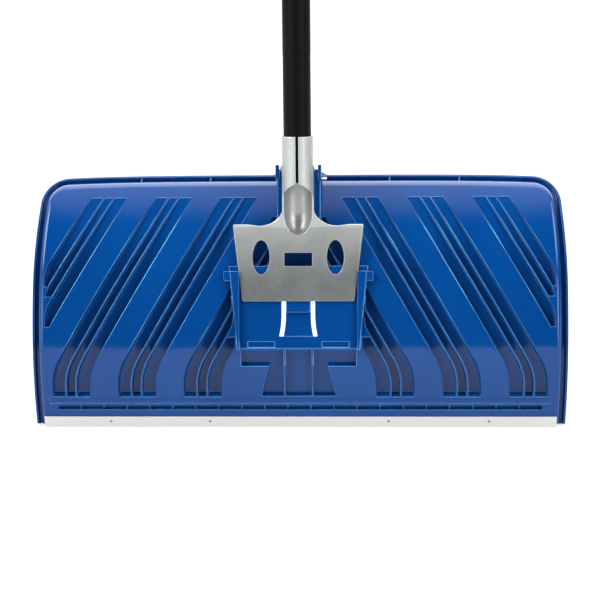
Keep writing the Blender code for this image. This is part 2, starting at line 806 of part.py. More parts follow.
# Materials and finishing
def material(name, colour, roughness, metallic):
    made = bpy.data.materials.new(name)
    made.use_nodes = True
    shader = made.node_tree.nodes["Principled BSDF"]
    shader.inputs["Base Color"].default_value = (*colour, 1.0)
    shader.inputs["Roughness"].default_value = roughness
    shader.inputs["Metallic"].default_value = metallic
    return made


def finish(thing, look):
    thing.data.materials.clear()
    thing.data.materials.append(look)
    thing.data.shade_smooth()
    thing.data.set_sharp_from_angle(angle=math.radians(30.0))


def stand_on_ground(root, solids):
    """Move the root so that the assembly's box stands centred on the origin."""
    bpy.context.view_layer.update()
    corners = [thing.matrix_world @ vertex.co for thing in solids for vertex in thing.data.vertices]
    low = [min(corner[axis] for corner in corners) for axis in range(3)]
    high = [max(corner[axis] for corner in corners) for axis in range(3)]
    root.location = (-(low[0] + high[0]) / 2, -(low[1] + high[1]) / 2, -low[2])
    bpy.context.view_layer.update()


def main():
    for old in list(bpy.data.objects):
        bpy.data.objects.remove(old)
    root = new_frame("shovel", (0, 0, 0))
    blade_frame = new_frame("blade_frame", (0, 0, 0), -BRACKET_BEND, root)
    tongue_root = (0, POCKET_FLOOR + TONGUE_THICK / 2, TONGUE_ROOT)
    tongue_frame = new_frame("tongue_hinge", tongue_root, 0.0, blade_frame)
    bend = (0, -PLATE_SHEET / 2, PLATE_REST + PLATE_BEND)
    slide_frame = new_frame("handle_slide", bend, 0.0, blade_frame)
    socket_frame = new_frame("socket_axis", (0, 0, 0), BRACKET_BEND, slide_frame)

    poly = material("blue_poly", (0.004, 0.080, 0.380), 0.22, 0.0)
    strip_steel = material("galvanised_strip", (0.78, 0.79, 0.78), 0.35, 0.9)
    bracket_steel = material("galvanised_bracket", (0.62, 0.64, 0.63), 0.38, 0.9)
    zinc = material("zinc_rivets", (0.60, 0.61, 0.60), 0.35, 0.9)
    coat = material("black_pole", (0.012, 0.012, 0.011), 0.40, 0.0)
    grip_poly = material("black_grip", (0.018, 0.018, 0.018), 0.55, 0.0)

    solids = [
        (make_blade(blade_frame), poly),
        (make_tongue(tongue_frame), poly),
        (make_strip(blade_frame), strip_steel),
        (make_bracket(socket_frame), bracket_steel),
        (make_pole(socket_frame), coat),
        (make_grip(socket_frame), grip_poly),
        (cross_rivet("socket_rivet", SOCKET_RADIUS + GAP, SOCKET_RIVET_Z, socket_frame), zinc),
        (cross_rivet("grip_rivet", GRIP_FERRULE + 0.0005, GRIP_RIVET_Z, socket_frame), zinc),
    ]
    for number, x in enumerate(sorted(rivet_places()), 1):
        solids.append((make_strip_rivet(number, x, blade_frame), zinc))
    for thing, look in solids:
        finish(thing, look)
    stand_on_ground(root, [thing for thing, look in solids])


main()
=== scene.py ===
"""Looks of the snow shovel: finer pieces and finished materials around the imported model."""
import math

import bmesh
import bpy
from mathutils import Matrix, Vector


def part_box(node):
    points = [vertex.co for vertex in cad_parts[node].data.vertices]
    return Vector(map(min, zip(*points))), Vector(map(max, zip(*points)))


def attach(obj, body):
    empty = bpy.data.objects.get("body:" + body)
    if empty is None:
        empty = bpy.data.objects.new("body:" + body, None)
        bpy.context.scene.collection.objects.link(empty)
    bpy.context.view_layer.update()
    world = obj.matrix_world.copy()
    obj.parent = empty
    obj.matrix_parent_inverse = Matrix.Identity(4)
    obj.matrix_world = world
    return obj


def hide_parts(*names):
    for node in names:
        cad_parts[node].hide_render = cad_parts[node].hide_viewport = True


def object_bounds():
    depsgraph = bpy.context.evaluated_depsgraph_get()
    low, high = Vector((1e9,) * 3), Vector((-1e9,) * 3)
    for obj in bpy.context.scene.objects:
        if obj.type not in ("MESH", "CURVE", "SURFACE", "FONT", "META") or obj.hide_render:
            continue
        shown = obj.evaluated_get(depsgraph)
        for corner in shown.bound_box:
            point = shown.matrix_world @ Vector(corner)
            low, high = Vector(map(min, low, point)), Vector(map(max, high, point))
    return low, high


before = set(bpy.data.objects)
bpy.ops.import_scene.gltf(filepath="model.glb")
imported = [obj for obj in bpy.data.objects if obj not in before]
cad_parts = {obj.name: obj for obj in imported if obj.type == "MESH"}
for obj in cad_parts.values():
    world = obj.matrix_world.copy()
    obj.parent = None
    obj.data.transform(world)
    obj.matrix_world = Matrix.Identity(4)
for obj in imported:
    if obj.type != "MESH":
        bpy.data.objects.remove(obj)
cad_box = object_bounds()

# Driving dimensions, in metres, as in the CAD source
GAP = 0.0003
BRACKET_BEND = math.radians(12.0)

# Blade shell
HALF_WIDTH = 0.305
BLADE_TOP = 0.2905
FOOT_LOW = 0.0012
SHEET_LOW = 0.0012
SHEET = 0.003
CORNER_RADIUS = 0.033
CROWN = 0.0046
TAPER = 0.4
TAPER_START = 0.158
LOW_TAPER = 0.11
LOW_TAPER_START = 0.105
CURVE_RADIUS = 0.330
CURVE_MIDDLE = 0.122
LIP = 0.003
RIM_TOP = 0.008
RIM_FLOOR = 0.014
RIM_INSET = 0.008
EDGE_ROUND = 0.007
SLICE = 0.004

# Slanted grooves, measured across the blade at GROOVE_KNEE
GROOVE_LEAN = math.tan(math.radians(30.0))
GROOVE_KNEE = 0.062
KNEE_REACH = 0.016
GROOVE_PITCH = 0.0752
GROOVE_WALLS = (0.0885, 0.1044, 0.1159, 0.1307)
GROOVE_COUNT = 4
GROOVE_DEPTH = 0.010
GROOVE_SHALLOW = 0.001
GROOVE_LOW = 0.033
GROOVE_RAMP = 0.0055
GROOVE_FADE = 0.175
GROOVE_TOP = 0.262
GROOVE_SKIN = 0.0025
GROOVE_SIDE_LIMIT = 0.2890
RIB = 0.0018

# Slot and step along the lower edge
SLOT_HALF = 0.277
SLOT_LOW = 0.0182
SLOT_HIGH = 0.0232
SLOT_DEPTH = 0.006
SLOT_PITCH = 0.0258
SLOT_WEB = 0.0010
STEP_HALF = 0.284
STEP_LOW = 0.026
STEP_HIGH = 0.031
STEP_DEPTH = 0.0012

# Pocket for the bracket's plate
POCKET_LOW = 0.0885
POCKET_HIGH = 0.1755
FLOOR_HIGH = POCKET_HIGH + 0.006
POCKET_FLOOR = GAP
RAIL_CLEAR = 0.002
CHANNEL_CLEAR = 0.026
LEDGE = 0.002
LEDGE_HEIGHT = 0.0035
RAIL_IN_LOW = 0.0663
RAIL_IN_HIGH = 0.0747
RAIL_WALL = 0.0025
LIP_EDGE = 0.0667
LIP_UNDER = 0.0034
RAIL_TOP = 0.0056
BOX_IN = 0.070
BOX_REACH = 0.0844
BOX_LOW = 0.165
BOX_RISE = 0.0045
PAD_X = (0.0267, 0.0574)
PAD_Z = (0.0895, 0.0960)
PAD_DEPTH = 0.001
RECESS_DEPTH = 0.009
RECESS_LOW = 0.034
RECESS_STEP = 0.068
RECESS_WIDE = 0.0655
RECESS_NARROW = 0.033
RECESS_FOOT = 0.0425
RECESS_RIB_X = 0.0159

# Snap tongue and its latch
TONGUE_ROOT = 0.102
TONGUE_TIP = 0.156
TONGUE_THICK = 0.0026
TONGUE_ROOT_HALF = 0.0169
TONGUE_HALF = 0.0142
TONGUE_FLARE = 0.127
TONGUE_SLOT = 0.0046
TIP_GAP = 0.002
LATCH_HALF = 0.0136
LATCH_LOW = 0.1292
LATCH_HIGH = 0.1418
LATCH_RISE = 0.0042
LATCH_FLAT = 0.002

# Channel that clears the back of the socket, and its two guide arms
CHANNEL_FLOOR = 0.0195
CHANNEL_HALF = 0.0212
CHANNEL_LOW = 0.161
CHANNEL_TOP = 0.293
CHANNEL_SKIN = 0.0025
RAMP_ROOT = 0.0025
RAMP_PAST = 0.0006
RAMP_HOLLOW = (0.009, 0.004)
ARM_IN = 0.0219
ARM_OUT = 0.0263
ARM_LOW = 0.281
ARM_TOP = 0.297
ARM_REACH = 0.0060
ARM_BACK = 0.016

# Wear strip and its rivets
STRIP_HALF = 0.2925
STRIP_SHEET = 0.0012
STRIP_BACK = 0.0100
STRIP_FRONT = 0.0125
STRIP_FOLD = -0.0016
RIVET_X = (0.102, 0.216)
RIVET_UP = 0.0045
RIVET_RADIUS = 0.0009

# Bracket, pole and grip
PLATE_TOP_HALF = 0.0740
PLATE_LOW_HALF = 0.0640
PLATE_BEND = 0.0840
EAR_RISE = 0.0033
PLATE_SHEET = 0.0022
PLATE_REST = 0.1413
OVAL_X = 0.042
OVAL_Z = 0.050
OVAL_HALF = (0.0095, 0.0193)
PLATE_SLOT_HALF = (0.0157, 0.0075)
PLATE_SLOT_Z = 0.0475
SOCKET_RADIUS = 0.0178
SOCKET_TOP = 0.103
SLIT_HALF = 0.0017
SLIT_END = 0.0518
OPENING_FULL = 0.0323
OPENING_HALF = 0.0180
OPENING_REACH = 0.021
OPENING_CORNER = 0.028
BOWL_REACH = 0.0112
BOWL_START = 0.0150
EAR_X = 0.052
SHOULDER_X = 0.045
SHOULDER_LOW = 0.0016
SHOULDER_RISE = 0.0215
POLE_RADIUS = 0.0156
POLE_LOW = 0.0520
POLE_HIGH = 1.075
SOCKET_RIVET_Z = 0.0675
CROSS_RIVET_RADIUS = 0.0024
GRIP_FERRULE = 0.0185
GRIP_LOW = 1.010
GRIP_YOKE = 1.085
GRIP_TOP = 1.205
GRIP_HALF = 0.052
GRIP_CORNER = 0.024
GRIP_BAR = (0.0135, 0.0150)
GRIP_SIDE = (0.0120, 0.0135)
GRIP_NECK = 0.012
GRIP_SWELL = (0.045, 0.015)
GRIP_BAR_DOWN = 0.014
GRIP_BAR_HALF = 0.021
GRIP_BELLY = (0.012, 0.002)
GRIP_FOOT = 0.010
FERRULE_FLARE = 0.001
FLARE_LENGTH = 0.012
DOME_START = 0.004
DOME_HEIGHT = 0.0085
GRIP_RIVET_Z = 1.035

# How far a cutter reaches past what it cuts or right through, and an added solid into what it joins
PAST = 0.01
CUTTER_REACH = 0.03
THROUGH_SHEET = 0.012
ROOT = 0.001

# Depths on the near and the far side of the blade's curved top
TOP_NEAR = 0.03
TOP_FAR = 0.09

# Finer rounding of the edges
FLARE_START = 25.0
MARGIN = 0.0001
SOFT = 0.0004
LIP_ROUND = 0.0010
FLOOR_FILLET = 0.0015
SKIN_ROUND = 0.0015
RIB_ROUND = 0.0003
WALL_ROUND = 0.0018
FOOT_ROUND = 0.0010
SLOT_ROUND = 0.0005
EDGE_INNER = EDGE_ROUND - 0.002
ARM_ROUND = 0.0008
ARM_LOOP = 0.0014
ARM_LOOP_DEEP = 0.012
PLATE_ROUND = 0.0009
HOLE_ROUND = 0.0012
CORNER_CUT = 0.0016
MOUTH_ROUND = 0.0015

# Small details that the CAD leaves out
ARM_FILLET = 0.0090
ARM_FILLET_RISE = 0.0045
SHELF_TILT = 0.0025
GUSSET_X = (0.1045, 0.1855)
GUSSET_HALF = 0.0006
GUSSET_DROP = 0.0012
DRAIN_X = (0.0004, 0.0050)
DRAIN_LOW = 0.0052
NARROWEST = 0.002

# Camera
CAMERA_AIM = (0.0019, -0.03768, 0.1470)
CAMERA_AZIMUTH = 2.2
CAMERA_ELEVATION = 11.0
CAMERA_DISTANCE = 1.70
CAMERA_ROLL = -0.55
VIEW_WIDTH = 0.6785

# Light: where each part of it starts and is full, by the height, depth or turn of the direction
# that it comes from, and its strength
AMBIENT = 0.05
BACKDROP = 1.1
OVERHEAD_EDGE = (0.80, 0.97)
OVERHEAD = 2.4
ZENITH_EDGE = (0.955, 0.985)
ZENITH = 3.0
LEFT_WALL_EDGES = (-2.3, -1.7, -1.15, -0.80)
LEFT_WALL = 0.85
RIGHT_WALL_EDGES = (0.45, 0.75, 0.95, 1.4)
RIGHT_WALL = 0.30
BEHIND_EDGE = (0.15, 0.80)
BEHIND = 0.20
BEYOND_NEAR = (0.0, 0.30)
BEYOND_LOW = (0.30, 0.55)
BEYOND = 4.5

# Softboxes: each one's turn and rise in degrees, and its strength
SOFTBOXES = ((-60.0, 40.0, 14.0), (62.0, 40.0, 9.0), (46.0, 12.0, 6.0), (-46.0, 12.0, 5.0))
SOFTBOX_EDGE = (0.960, 0.985)
FLOOR_REACH = 14.0


# Small modelling helpers
def new_object(name, mesh):
    thing = bpy.data.objects.new(name, mesh)
    bpy.context.scene.collection.objects.link(thing)
    return thing


def as_object(name, shape):
    mesh = bpy.data.meshes.new(name)
    shape.to_mesh(mesh)
    shape.free()
    return new_object(name, mesh)


def loft(name, loops, closed=False):
    """A solid through loops of points; it is capped at both ends unless it closes on itself."""
    shape = bmesh.new()
    rings = [[shape.verts.new(point) for point in loop] for loop in loops]
    count = len(rings[0])
    joins = list(zip(rings, rings[1:]))
    if closed:
        joins.append((rings[-1], rings[0]))
    for low, high in joins:
        for index in range(count):
            after = (index + 1) % count
            shape.faces.new((low[index], low[after], high[after], high[index]))
    if not closed:
        shape.faces.new(rings[0])
        shape.faces.new(rings[-1])
    bmesh.ops.recalc_face_normals(shape, faces=shape.faces)
    return as_object(name, shape)


def layers(name, outlines):
    """A solid through (y, outline) layers, where an outline is a list of (x, z) points."""
    return loft(name, [[(x, y, z) for x, z in outline] for y, outline in outlines])


def prism(name, outline, near, far):
    return layers(name, [(near, outline), (far, outline)])


def rectangle(low, high):
    return [(low[0], low[2]), (high[0], low[2]), (high[0], high[2]), (low[0], high[2])]


def block(name, low, high):
    return prism(name, rectangle(low, high), low[1], high[1])


def quarter(steps, first=0.0, last=90.0):
    """The angles of a rounding, in radians."""
    return [math.radians(first + (last - first) * step / steps) for step in range(steps + 1)]


def arc(x, z, radius, first, last, steps):
    """Points on a circle about (x, z), between two angles in degrees."""
    return [(x + radius * math.cos(a), z + radius * math.sin(a)) for a in quarter(steps, first, last)]


def fillet(radius, steps=3):
    """A quarter circle from the corner that it rounds, as pairs of distances from the two sides."""
    return [(radius * (1 - math.cos(a)), radius * (1 - math.sin(a))) for a in quarter(steps)]


def offset(outline, amount):
    """The outline with each of its sides moved outward by amount."""
    area = sum(a[0] * b[1] - b[0] * a[1] for a, b in zip(outline, outline[1:] + outline[:1]))
    sign = 1.0 if area > 0 else -1.0
    moved = []
    for index, point in enumerate(outline):
        here = Vector(point)
        first = (here - Vector(outline[index - 1])).normalized()
        second = (Vector(outline[(index + 1) % len(outline)]) - here).normalized()
        out = Vector((first.y + second.y, -first.x - second.x)) / (1 + first.dot(second))
        moved.append(tuple(here + sign * amount * out))
    return moved


def soft_prism(name, outline, near, far, radius, steps=3):
    """A prism with its edges at both ends rounded."""
    outlines = [(depth, offset(outline, -inset)) for depth, inset in fillet(radius, steps)]
    front = [(near + depth, line) for depth, line in outlines]
    back = [(far - depth, line) for depth, line in reversed(outlines)]
    return layers(name, front + back)


def soft_block(name, low, high, radius=SOFT):
    """A box with all of its edges rounded."""
    thing = block(name, low, high)
    shape = bmesh.new()
    shape.from_mesh(thing.data)
    bmesh.ops.bevel(shape, geom=shape.edges[:], offset=radius, segments=2, profile=0.5, affect="EDGES")
    shape.to_mesh(thing.data)
    shape.free()
    return thing


def flare(radius):
    """How a rounded opening widens toward a surface: (depth under the surface, growth) pairs.

    It meets the surface at a slight angle instead of touching it, so that a Boolean can cut it.
    """
    start = math.radians(FLARE_START)
    skip = radius * (1 - math.cos(start))
    wide = radius * (1 - math.sin(start)) + (skip + MARGIN) / math.tan(start)
    pairs = [(-PAST, wide), (-MARGIN, wide)]
    angles = quarter(3, FLARE_START)
    return pairs + [(radius * (1 - math.cos(a)), radius * (1 - math.sin(a))) for a in angles]


def soft_hole(name, outline, near, far, radius):
    """A cutter through a plate between near and far that rounds the edges of its hole."""
    front = [(near + depth, offset(outline, grow)) for depth, grow in flare(radius)]
    back = [(far - depth, offset(outline, grow)) for depth, grow in reversed(flare(radius))]
    return layers(name, front + back)


def turned(name, profile, sides=48):
    """A solid turned about Z from (radius, z) points, flat at both ends."""
    turns = [2 * math.pi * index / sides for index in range(sides)]
    return loft(name, [[(r * math.cos(a), r * math.sin(a), z) for a in turns] for r, z in profile])


def rod(name, radius, low, high, sides=48):
    """A cylinder along Z."""
    return turned(name, [(radius, low), (radius, high)], sides)


def cross_hole(z):
    """A cutter for the rivet that crosses the pole at height z."""
    hole = rod("rivet_hole", CROSS_RIVET_RADIUS + GAP, -CUTTER_REACH, CUTTER_REACH, 24)
    return move(hole, Matrix.Translation((0, 0, z)) @ Matrix.Rotation(math.pi / 2, 4, "Y"))


def spread(first, last, count):
    """Evenly spaced values from first to last."""
    return [first + (last - first) * step / (count - 1) for step in range(count)]


def move(thing, matrix):
    thing.data.transform(matrix)
    return thing


def combine(target, tool, operation):
    """Apply one exact Boolean to the target and drop the tool."""
    cut = target.modifiers.new("cut", "BOOLEAN")
    cut.operation = operation
    cut.solver = "EXACT"
    cut.object = tool
    graph = bpy.context.evaluated_depsgraph_get()
    mesh = bpy.data.meshes.new_from_object(target.evaluated_get(graph))
    target.modifiers.clear()
    target.data = mesh
    bpy.data.objects.remove(tool)


def add(target, *tools):
    for tool in tools:
        combine(target, tool, "UNION")


def cut(target, *tools):
    for tool in tools:
        combine(target, tool, "DIFFERENCE")


def gather(name, things):
    """Join solids that don't touch into one tool."""
    shape = bmesh.new()
    for thing in things:
        shape.from_mesh(thing.data)
        bpy.data.objects.remove(thing)
    return as_object(name, shape)


def mirrored(right):
    """A symmetric outline from its right half."""
    return right + [(-x, z) for x, z in reversed(right)]


def row(half, front, back, z):
    """A section at height z: its corners, as far as half to each side."""
    return [(-half, front, z), (half, front, z), (half, back, z), (-half, back, z)]


def both_sides(maker):
    """The solids that maker gives for the right side, and for the left."""
    return maker(1.0) + maker(-1.0)


def slice_across(thing, heights):
    """Split the faces at each height, so that they can bend there."""
    shape = bmesh.new()
    shape.from_mesh(thing.data)
    for height in heights:
        everything = shape.verts[:] + shape.edges[:] + shape.faces[:]
        bmesh.ops.bisect_plane(
            shape, geom=everything, dist=1e-6, plane_co=(0, 0, height), plane_no=(0, 0, 1)
        )
    shape.to_mesh(thing.data)
    shape.free()


def finish(thing, look, body, replaced):
    """Shade a finished piece, dress it, and tie it to the frame."""
    thing.data.materials.clear()
    thing.data.materials.append(look)
    thing.data.shade_smooth()
    thing.data.set_sharp_from_angle(angle=math.radians(30.0))
    weighted = thing.modifiers.new("even_shading", "WEIGHTED_NORMAL")
    weighted.keep_sharp = True
    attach(thing, body)
    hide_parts(replaced)


# Blade outline and curve
def drop(z):
    """How far the curved sheet falls away from the flat pocket at height z."""
    return CURVE_RADIUS - math.sqrt(CURVE_RADIUS ** 2 - (z - CURVE_MIDDLE) ** 2)


def side_at(z, inset):
    """The blade's half width at height z; it narrows a little toward its top and its foot."""
    narrowing = TAPER * max(0.0, z - TAPER_START) ** 2
    narrowing += LOW_TAPER * max(0.0, LOW_TAPER_START - z) ** 2
    return HALF_WIDTH - inset - narrowing


def top_at(x, inset):
    return BLADE_TOP - inset - CROWN * (x / HALF_WIDTH) ** 4


def blade_outline(inset, low):
    radius = CORNER_RADIUS - inset
    centre_z = top_at(HALF_WIDTH - CORNER_RADIUS, inset) - radius
    centre_x = side_at(centre_z, inset) - radius
    right = [(side_at(z, inset), z) for z in [low] + spread(0.02, centre_z - 0.004, 14)]
    right += arc(centre_x, centre_z, radius, 2.0, 89.0, 18)
    return mirrored(right + [(x, top_at(x, inset)) for x in spread(0.25, 0.05, 9)])


def blade_shell():
    """The outer lip, the channel inside it, and the tray with its hollow front."""
    below = -2 * PAST
    outlines = []
    for depth, inset in fillet(LIP_ROUND, 4):
        outlines.append((RIM_TOP + depth, blade_outline(inset, FOOT_LOW)))
    outlines.append((RIM_FLOOR + SHEET, blade_outline(0.0, FOOT_LOW)))
    shell = layers("blade_fine", outlines)
    outlines = []
    for depth, grow in flare(LIP_ROUND):
        outlines.append((RIM_TOP + depth, blade_outline(LIP - grow, below)))
    for inset, depth in fillet(FLOOR_FILLET):
        outlines.append((RIM_FLOOR - depth, blade_outline(LIP + inset, below)))
    cut(shell, layers("rim_channel", outlines))
    outlines = [(RIM_FLOOR + SHEET, blade_outline(RIM_INSET - FLOOR_FILLET * 0.6, SHEET_LOW))]
    for angle in quarter(3, FLARE_START):
        inset = RIM_INSET - FLOOR_FILLET * (1 - math.sin(angle))
        y = RIM_FLOOR - FLOOR_FILLET * (1 - math.cos(angle))
        outlines.append((y, blade_outline(inset, SHEET_LOW)))
    for inset, depth in fillet(EDGE_ROUND, 8):
        outlines.append((depth, blade_outline(RIM_INSET + inset, SHEET_LOW)))
    add(shell, layers("tray", outlines))
    outlines = [(RIM_FLOOR + 2 * PAST, blade_outline(RIM_INSET + SHEET, below))]
    for inset, depth in fillet(EDGE_INNER, 6):
        outlines.append((SHEET + depth, blade_outline(RIM_INSET + SHEET + inset, below)))
    cut(shell, layers("tray_hollow", outlines))
    return shell


def gussets(shell):
    """Thin webs between the lip and the tray along the top."""
    webs = []
    for x in GUSSET_X:
        for side in (1.0, -1.0):
            low = (side * x - GUSSET_HALF, RIM_TOP + GUSSET_DROP, top_at(x, RIM_INSET + ROOT))
            high = (side * x + GUSSET_HALF, RIM_FLOOR + ROOT, top_at(x, LIP * 0.6))
            webs.append(block("gusset", low, high))
    add(shell, gather("gussets", webs))


# Slanted grooves
def lean(z):
    """How far a groove has moved toward the blade's middle at height z."""
    start = GROOVE_KNEE - KNEE_REACH
    if z <= start:
        return 0.0
    if z < GROOVE_KNEE + KNEE_REACH:
        return GROOVE_LEAN * (z - start) ** 2 / (4 * KNEE_REACH)
    return GROOVE_LEAN * (z - GROOVE_KNEE)


def groove_depth(z):
    """A groove is shallow at its foot and at its top, with a short ramp and a long one between."""
    ramp = min(1.0, (z - GROOVE_LOW) / GROOVE_RAMP)
    fade = min(1.0, max(0.0, (z - GROOVE_FADE) / (GROOVE_TOP - GROOVE_FADE)))
    return GROOVE_SHALLOW + (GROOVE_DEPTH - GROOVE_SHALLOW) * ramp * (1 - fade)


def rail_line(z):
    """The inner face of a pocket rail at height z."""
    share = (z - POCKET_LOW) / (POCKET_HIGH - POCKET_LOW)
    return RAIL_IN_LOW + share * (RAIL_IN_HIGH - RAIL_IN_LOW)


def groove_limits(z):
    """The least and the greatest X that a groove may reach at height z."""
    inner = rail_line(z) + RAIL_WALL + RAIL_CLEAR if z < POCKET_HIGH + 0.01 else CHANNEL_CLEAR
    return inner, side_at(z, 0.0) - HALF_WIDTH + GROOVE_SIDE_LIMIT


def groove_rows(inner, outer, skin):
    """How a groove runs: its near wall, its far wall, its floor and its height, row by row."""
    heights = [GROOVE_LOW, GROOVE_LOW + GROOVE_RAMP]
    heights += spread(GROOVE_KNEE - KNEE_REACH, GROOVE_KNEE + KNEE_REACH, 9)
    heights += spread(GROOVE_KNEE + KNEE_REACH, GROOVE_TOP, 17)[1:]
    rows = []
    for z in heights:
        least, most = groove_limits(z)
        near = max(inner - lean(z), least)
        far = min(outer - lean(z), most)
        if far - near > NARROWEST:
            rows.append([near - skin, far + skin, groove_depth(z) + skin, z])
    if len(rows) > 1:
        rows[0][3] -= skin
        rows[-1][3] += skin
    return rows


def groove_skin(side, inner, outer):
    """The wall that a groove makes on the blade's front, with its front edges rounded."""
    loops = []
    for near, far, floor, z in groove_rows(inner, outer, GROOVE_SKIN):
        radius = min(SKIN_ROUND, floor * 0.45)
        points = [(near, ROOT)]
        points += [(near + inset, floor - depth) for inset, depth in fillet(radius)]
        points += [(far - inset, floor - depth) for depth, inset in fillet(radius)]
        points.append((far, ROOT))
        loops.append([(side * x, y, z) for x, y in points])
    return loft("groove_skin", loops)


def groove_channel(side, inner, outer, near_round, far_round):
    """A groove's cutter: it rounds the groove's edges and the corners of its floor."""
    rows = groove_rows(inner, outer, 0.0)
    if len(rows) < 2:
        return []
    loops = []
    for near, far, floor, z in rows:
        foot = min(FOOT_ROUND, floor * 0.45)
        edge = min(near_round, floor * 0.45)
        points = [(near - grow, depth) for depth, grow in flare(edge)]
        points += [(near + inset, floor - depth) for inset, depth in fillet(foot)]
        points += [(far - inset, floor - depth) for depth, inset in fillet(foot)]
        edge = min(far_round, floor * 0.45)
        points += [(far + grow, depth) for depth, grow in reversed(flare(edge))]
        loops.append([(side * x, y, z) for x, y in points])
    return [loft("groove", loops)]


def grooves(shell):
    """Three channels side by side in each groove, with a rib left standing between each two."""
    walls = [[wall + GROOVE_PITCH * index for wall in GROOVE_WALLS] for index in range(GROOVE_COUNT)]
    half = RIB / 2

    def skins(side):
        return [groove_skin(side, wall[0], wall[3]) for wall in walls]

    def channels(side):
        made = []
        for wall in walls:
            made += groove_channel(side, wall[0], wall[1] - half, WALL_ROUND, RIB_ROUND)
            made += groove_channel(side, wall[1] + half, wall[2] - half, RIB_ROUND, RIB_ROUND)
            made += groove_channel(side, wall[2] + half, wall[3], RIB_ROUND, WALL_ROUND)
        return made

    add(shell, gather("groove_skins", both_sides(skins)))
    cut(shell, gather("groove_channels", both_sides(channels)))


# Lower edge and recess
def lower_edge(shell):
    """A slot split into cells by thin webs, and a shallow step above it."""
    skin = GROOVE_SKIN
    low = (-SLOT_HALF - skin, ROOT, SLOT_LOW - skin)
    high = (SLOT_HALF + skin, SLOT_DEPTH + skin, SLOT_HIGH + skin)
    add(shell, block("slot_skin", low, high))
    count = round(2 * SLOT_HALF / SLOT_PITCH)
    pitch = 2 * SLOT_HALF / count
    cells = []
    for index in range(count):
        left = -SLOT_HALF + pitch * index + SLOT_WEB / 2
        right = left + pitch - SLOT_WEB
        outline = rectangle((left, 0, SLOT_LOW), (right, 0, SLOT_HIGH))
        outlines = [(depth, offset(outline, grow)) for depth, grow in flare(SLOT_ROUND)]
        cells.append(layers("cell", outlines + [(SLOT_DEPTH, outline)]))
    cut(shell, gather("slot_cells", cells))
    step = rectangle((-STEP_HALF, 0, STEP_LOW), (STEP_HALF, 0, STEP_HIGH))
    outlines = [(-PAST, offset(step, STEP_DEPTH)), (-MARGIN, offset(step, STEP_DEPTH))]
    cut(shell, layers("step", outlines + [(STEP_DEPTH, step)]))


def recess(shell):
    """A wide band under the ledge and a trapezoid below it, split by two ribs."""
    high = POCKET_LOW - LEDGE
    band = RECESS_STEP
    low = RECESS_LOW
    skin = GROOVE_SKIN
    half = [(RAIL_IN_LOW - SOFT, high), (RECESS_WIDE, band), (RECESS_NARROW, band), (RECESS_FOOT, low)]
    around = [(half[0][0] + skin, high + skin), (RECESS_WIDE + skin, band - skin)]
    around += [(RECESS_NARROW + 3 * skin, band - skin), (RECESS_FOOT + 2 * skin, low - skin)]
    add(shell, prism("recess_skin", mirrored(around), ROOT, RECESS_DEPTH + skin))
    near = RECESS_RIB_X - RIB / 2
    far = RECESS_RIB_X + RIB / 2
    top = band + ROOT
    outlines = [[(-near, top), (near, top), (near, low), (-near, low)]]
    for side in (1.0, -1.0):
        lower = [(RECESS_NARROW, top)] + half[2:] + [(far, low), (far, top)]
        outlines.append([(side * x, z) for x, z in lower])
    parts = []
    for outline in outlines:
        sections = [(depth, offset(outline, grow)) for depth, grow in flare(RIB_ROUND)]
        for inset, depth in fillet(FOOT_ROUND):
            sections.append((RECESS_DEPTH - depth, offset(outline, -inset)))
        parts.append(layers("recess", sections))
    cut(shell, gather("recesses", parts))

    def shelf(first, last_low, last_high):
        """The band's cutter between first and last; its floor rises a little toward the ledge."""
        loops = []
        ends = ((band, last_low, RECESS_DEPTH), (high, last_high, RECESS_DEPTH - SHELF_TILT))
        for z, last, floor in ends:
            loops.append([(first, -PAST, z), (last, -PAST, z), (last, floor, z), (first, floor, z)])
        return loft("shelf", loops)

    shelves = [shelf(-near, near, near)]
    shelves += [shelf(side * far, side * RECESS_WIDE, side * half[0][0]) for side in (1.0, -1.0)]
    cut(shell, gather("shelves", shelves))


def curve_sheet(shell):
    """Slice the flat sheet across and shear it onto its curve."""
    slice_across(shell, [SLICE * step for step in range(1, int(BLADE_TOP / SLICE) + 1)])
    shape = bmesh.new()
    shape.from_mesh(shell.data)
    bmesh.ops.triangulate(shape, faces=shape.faces)
    for vertex in shape.verts:
        vertex.co.y += drop(vertex.co.z)
    shape.to_mesh(shell.data)
    shape.free()


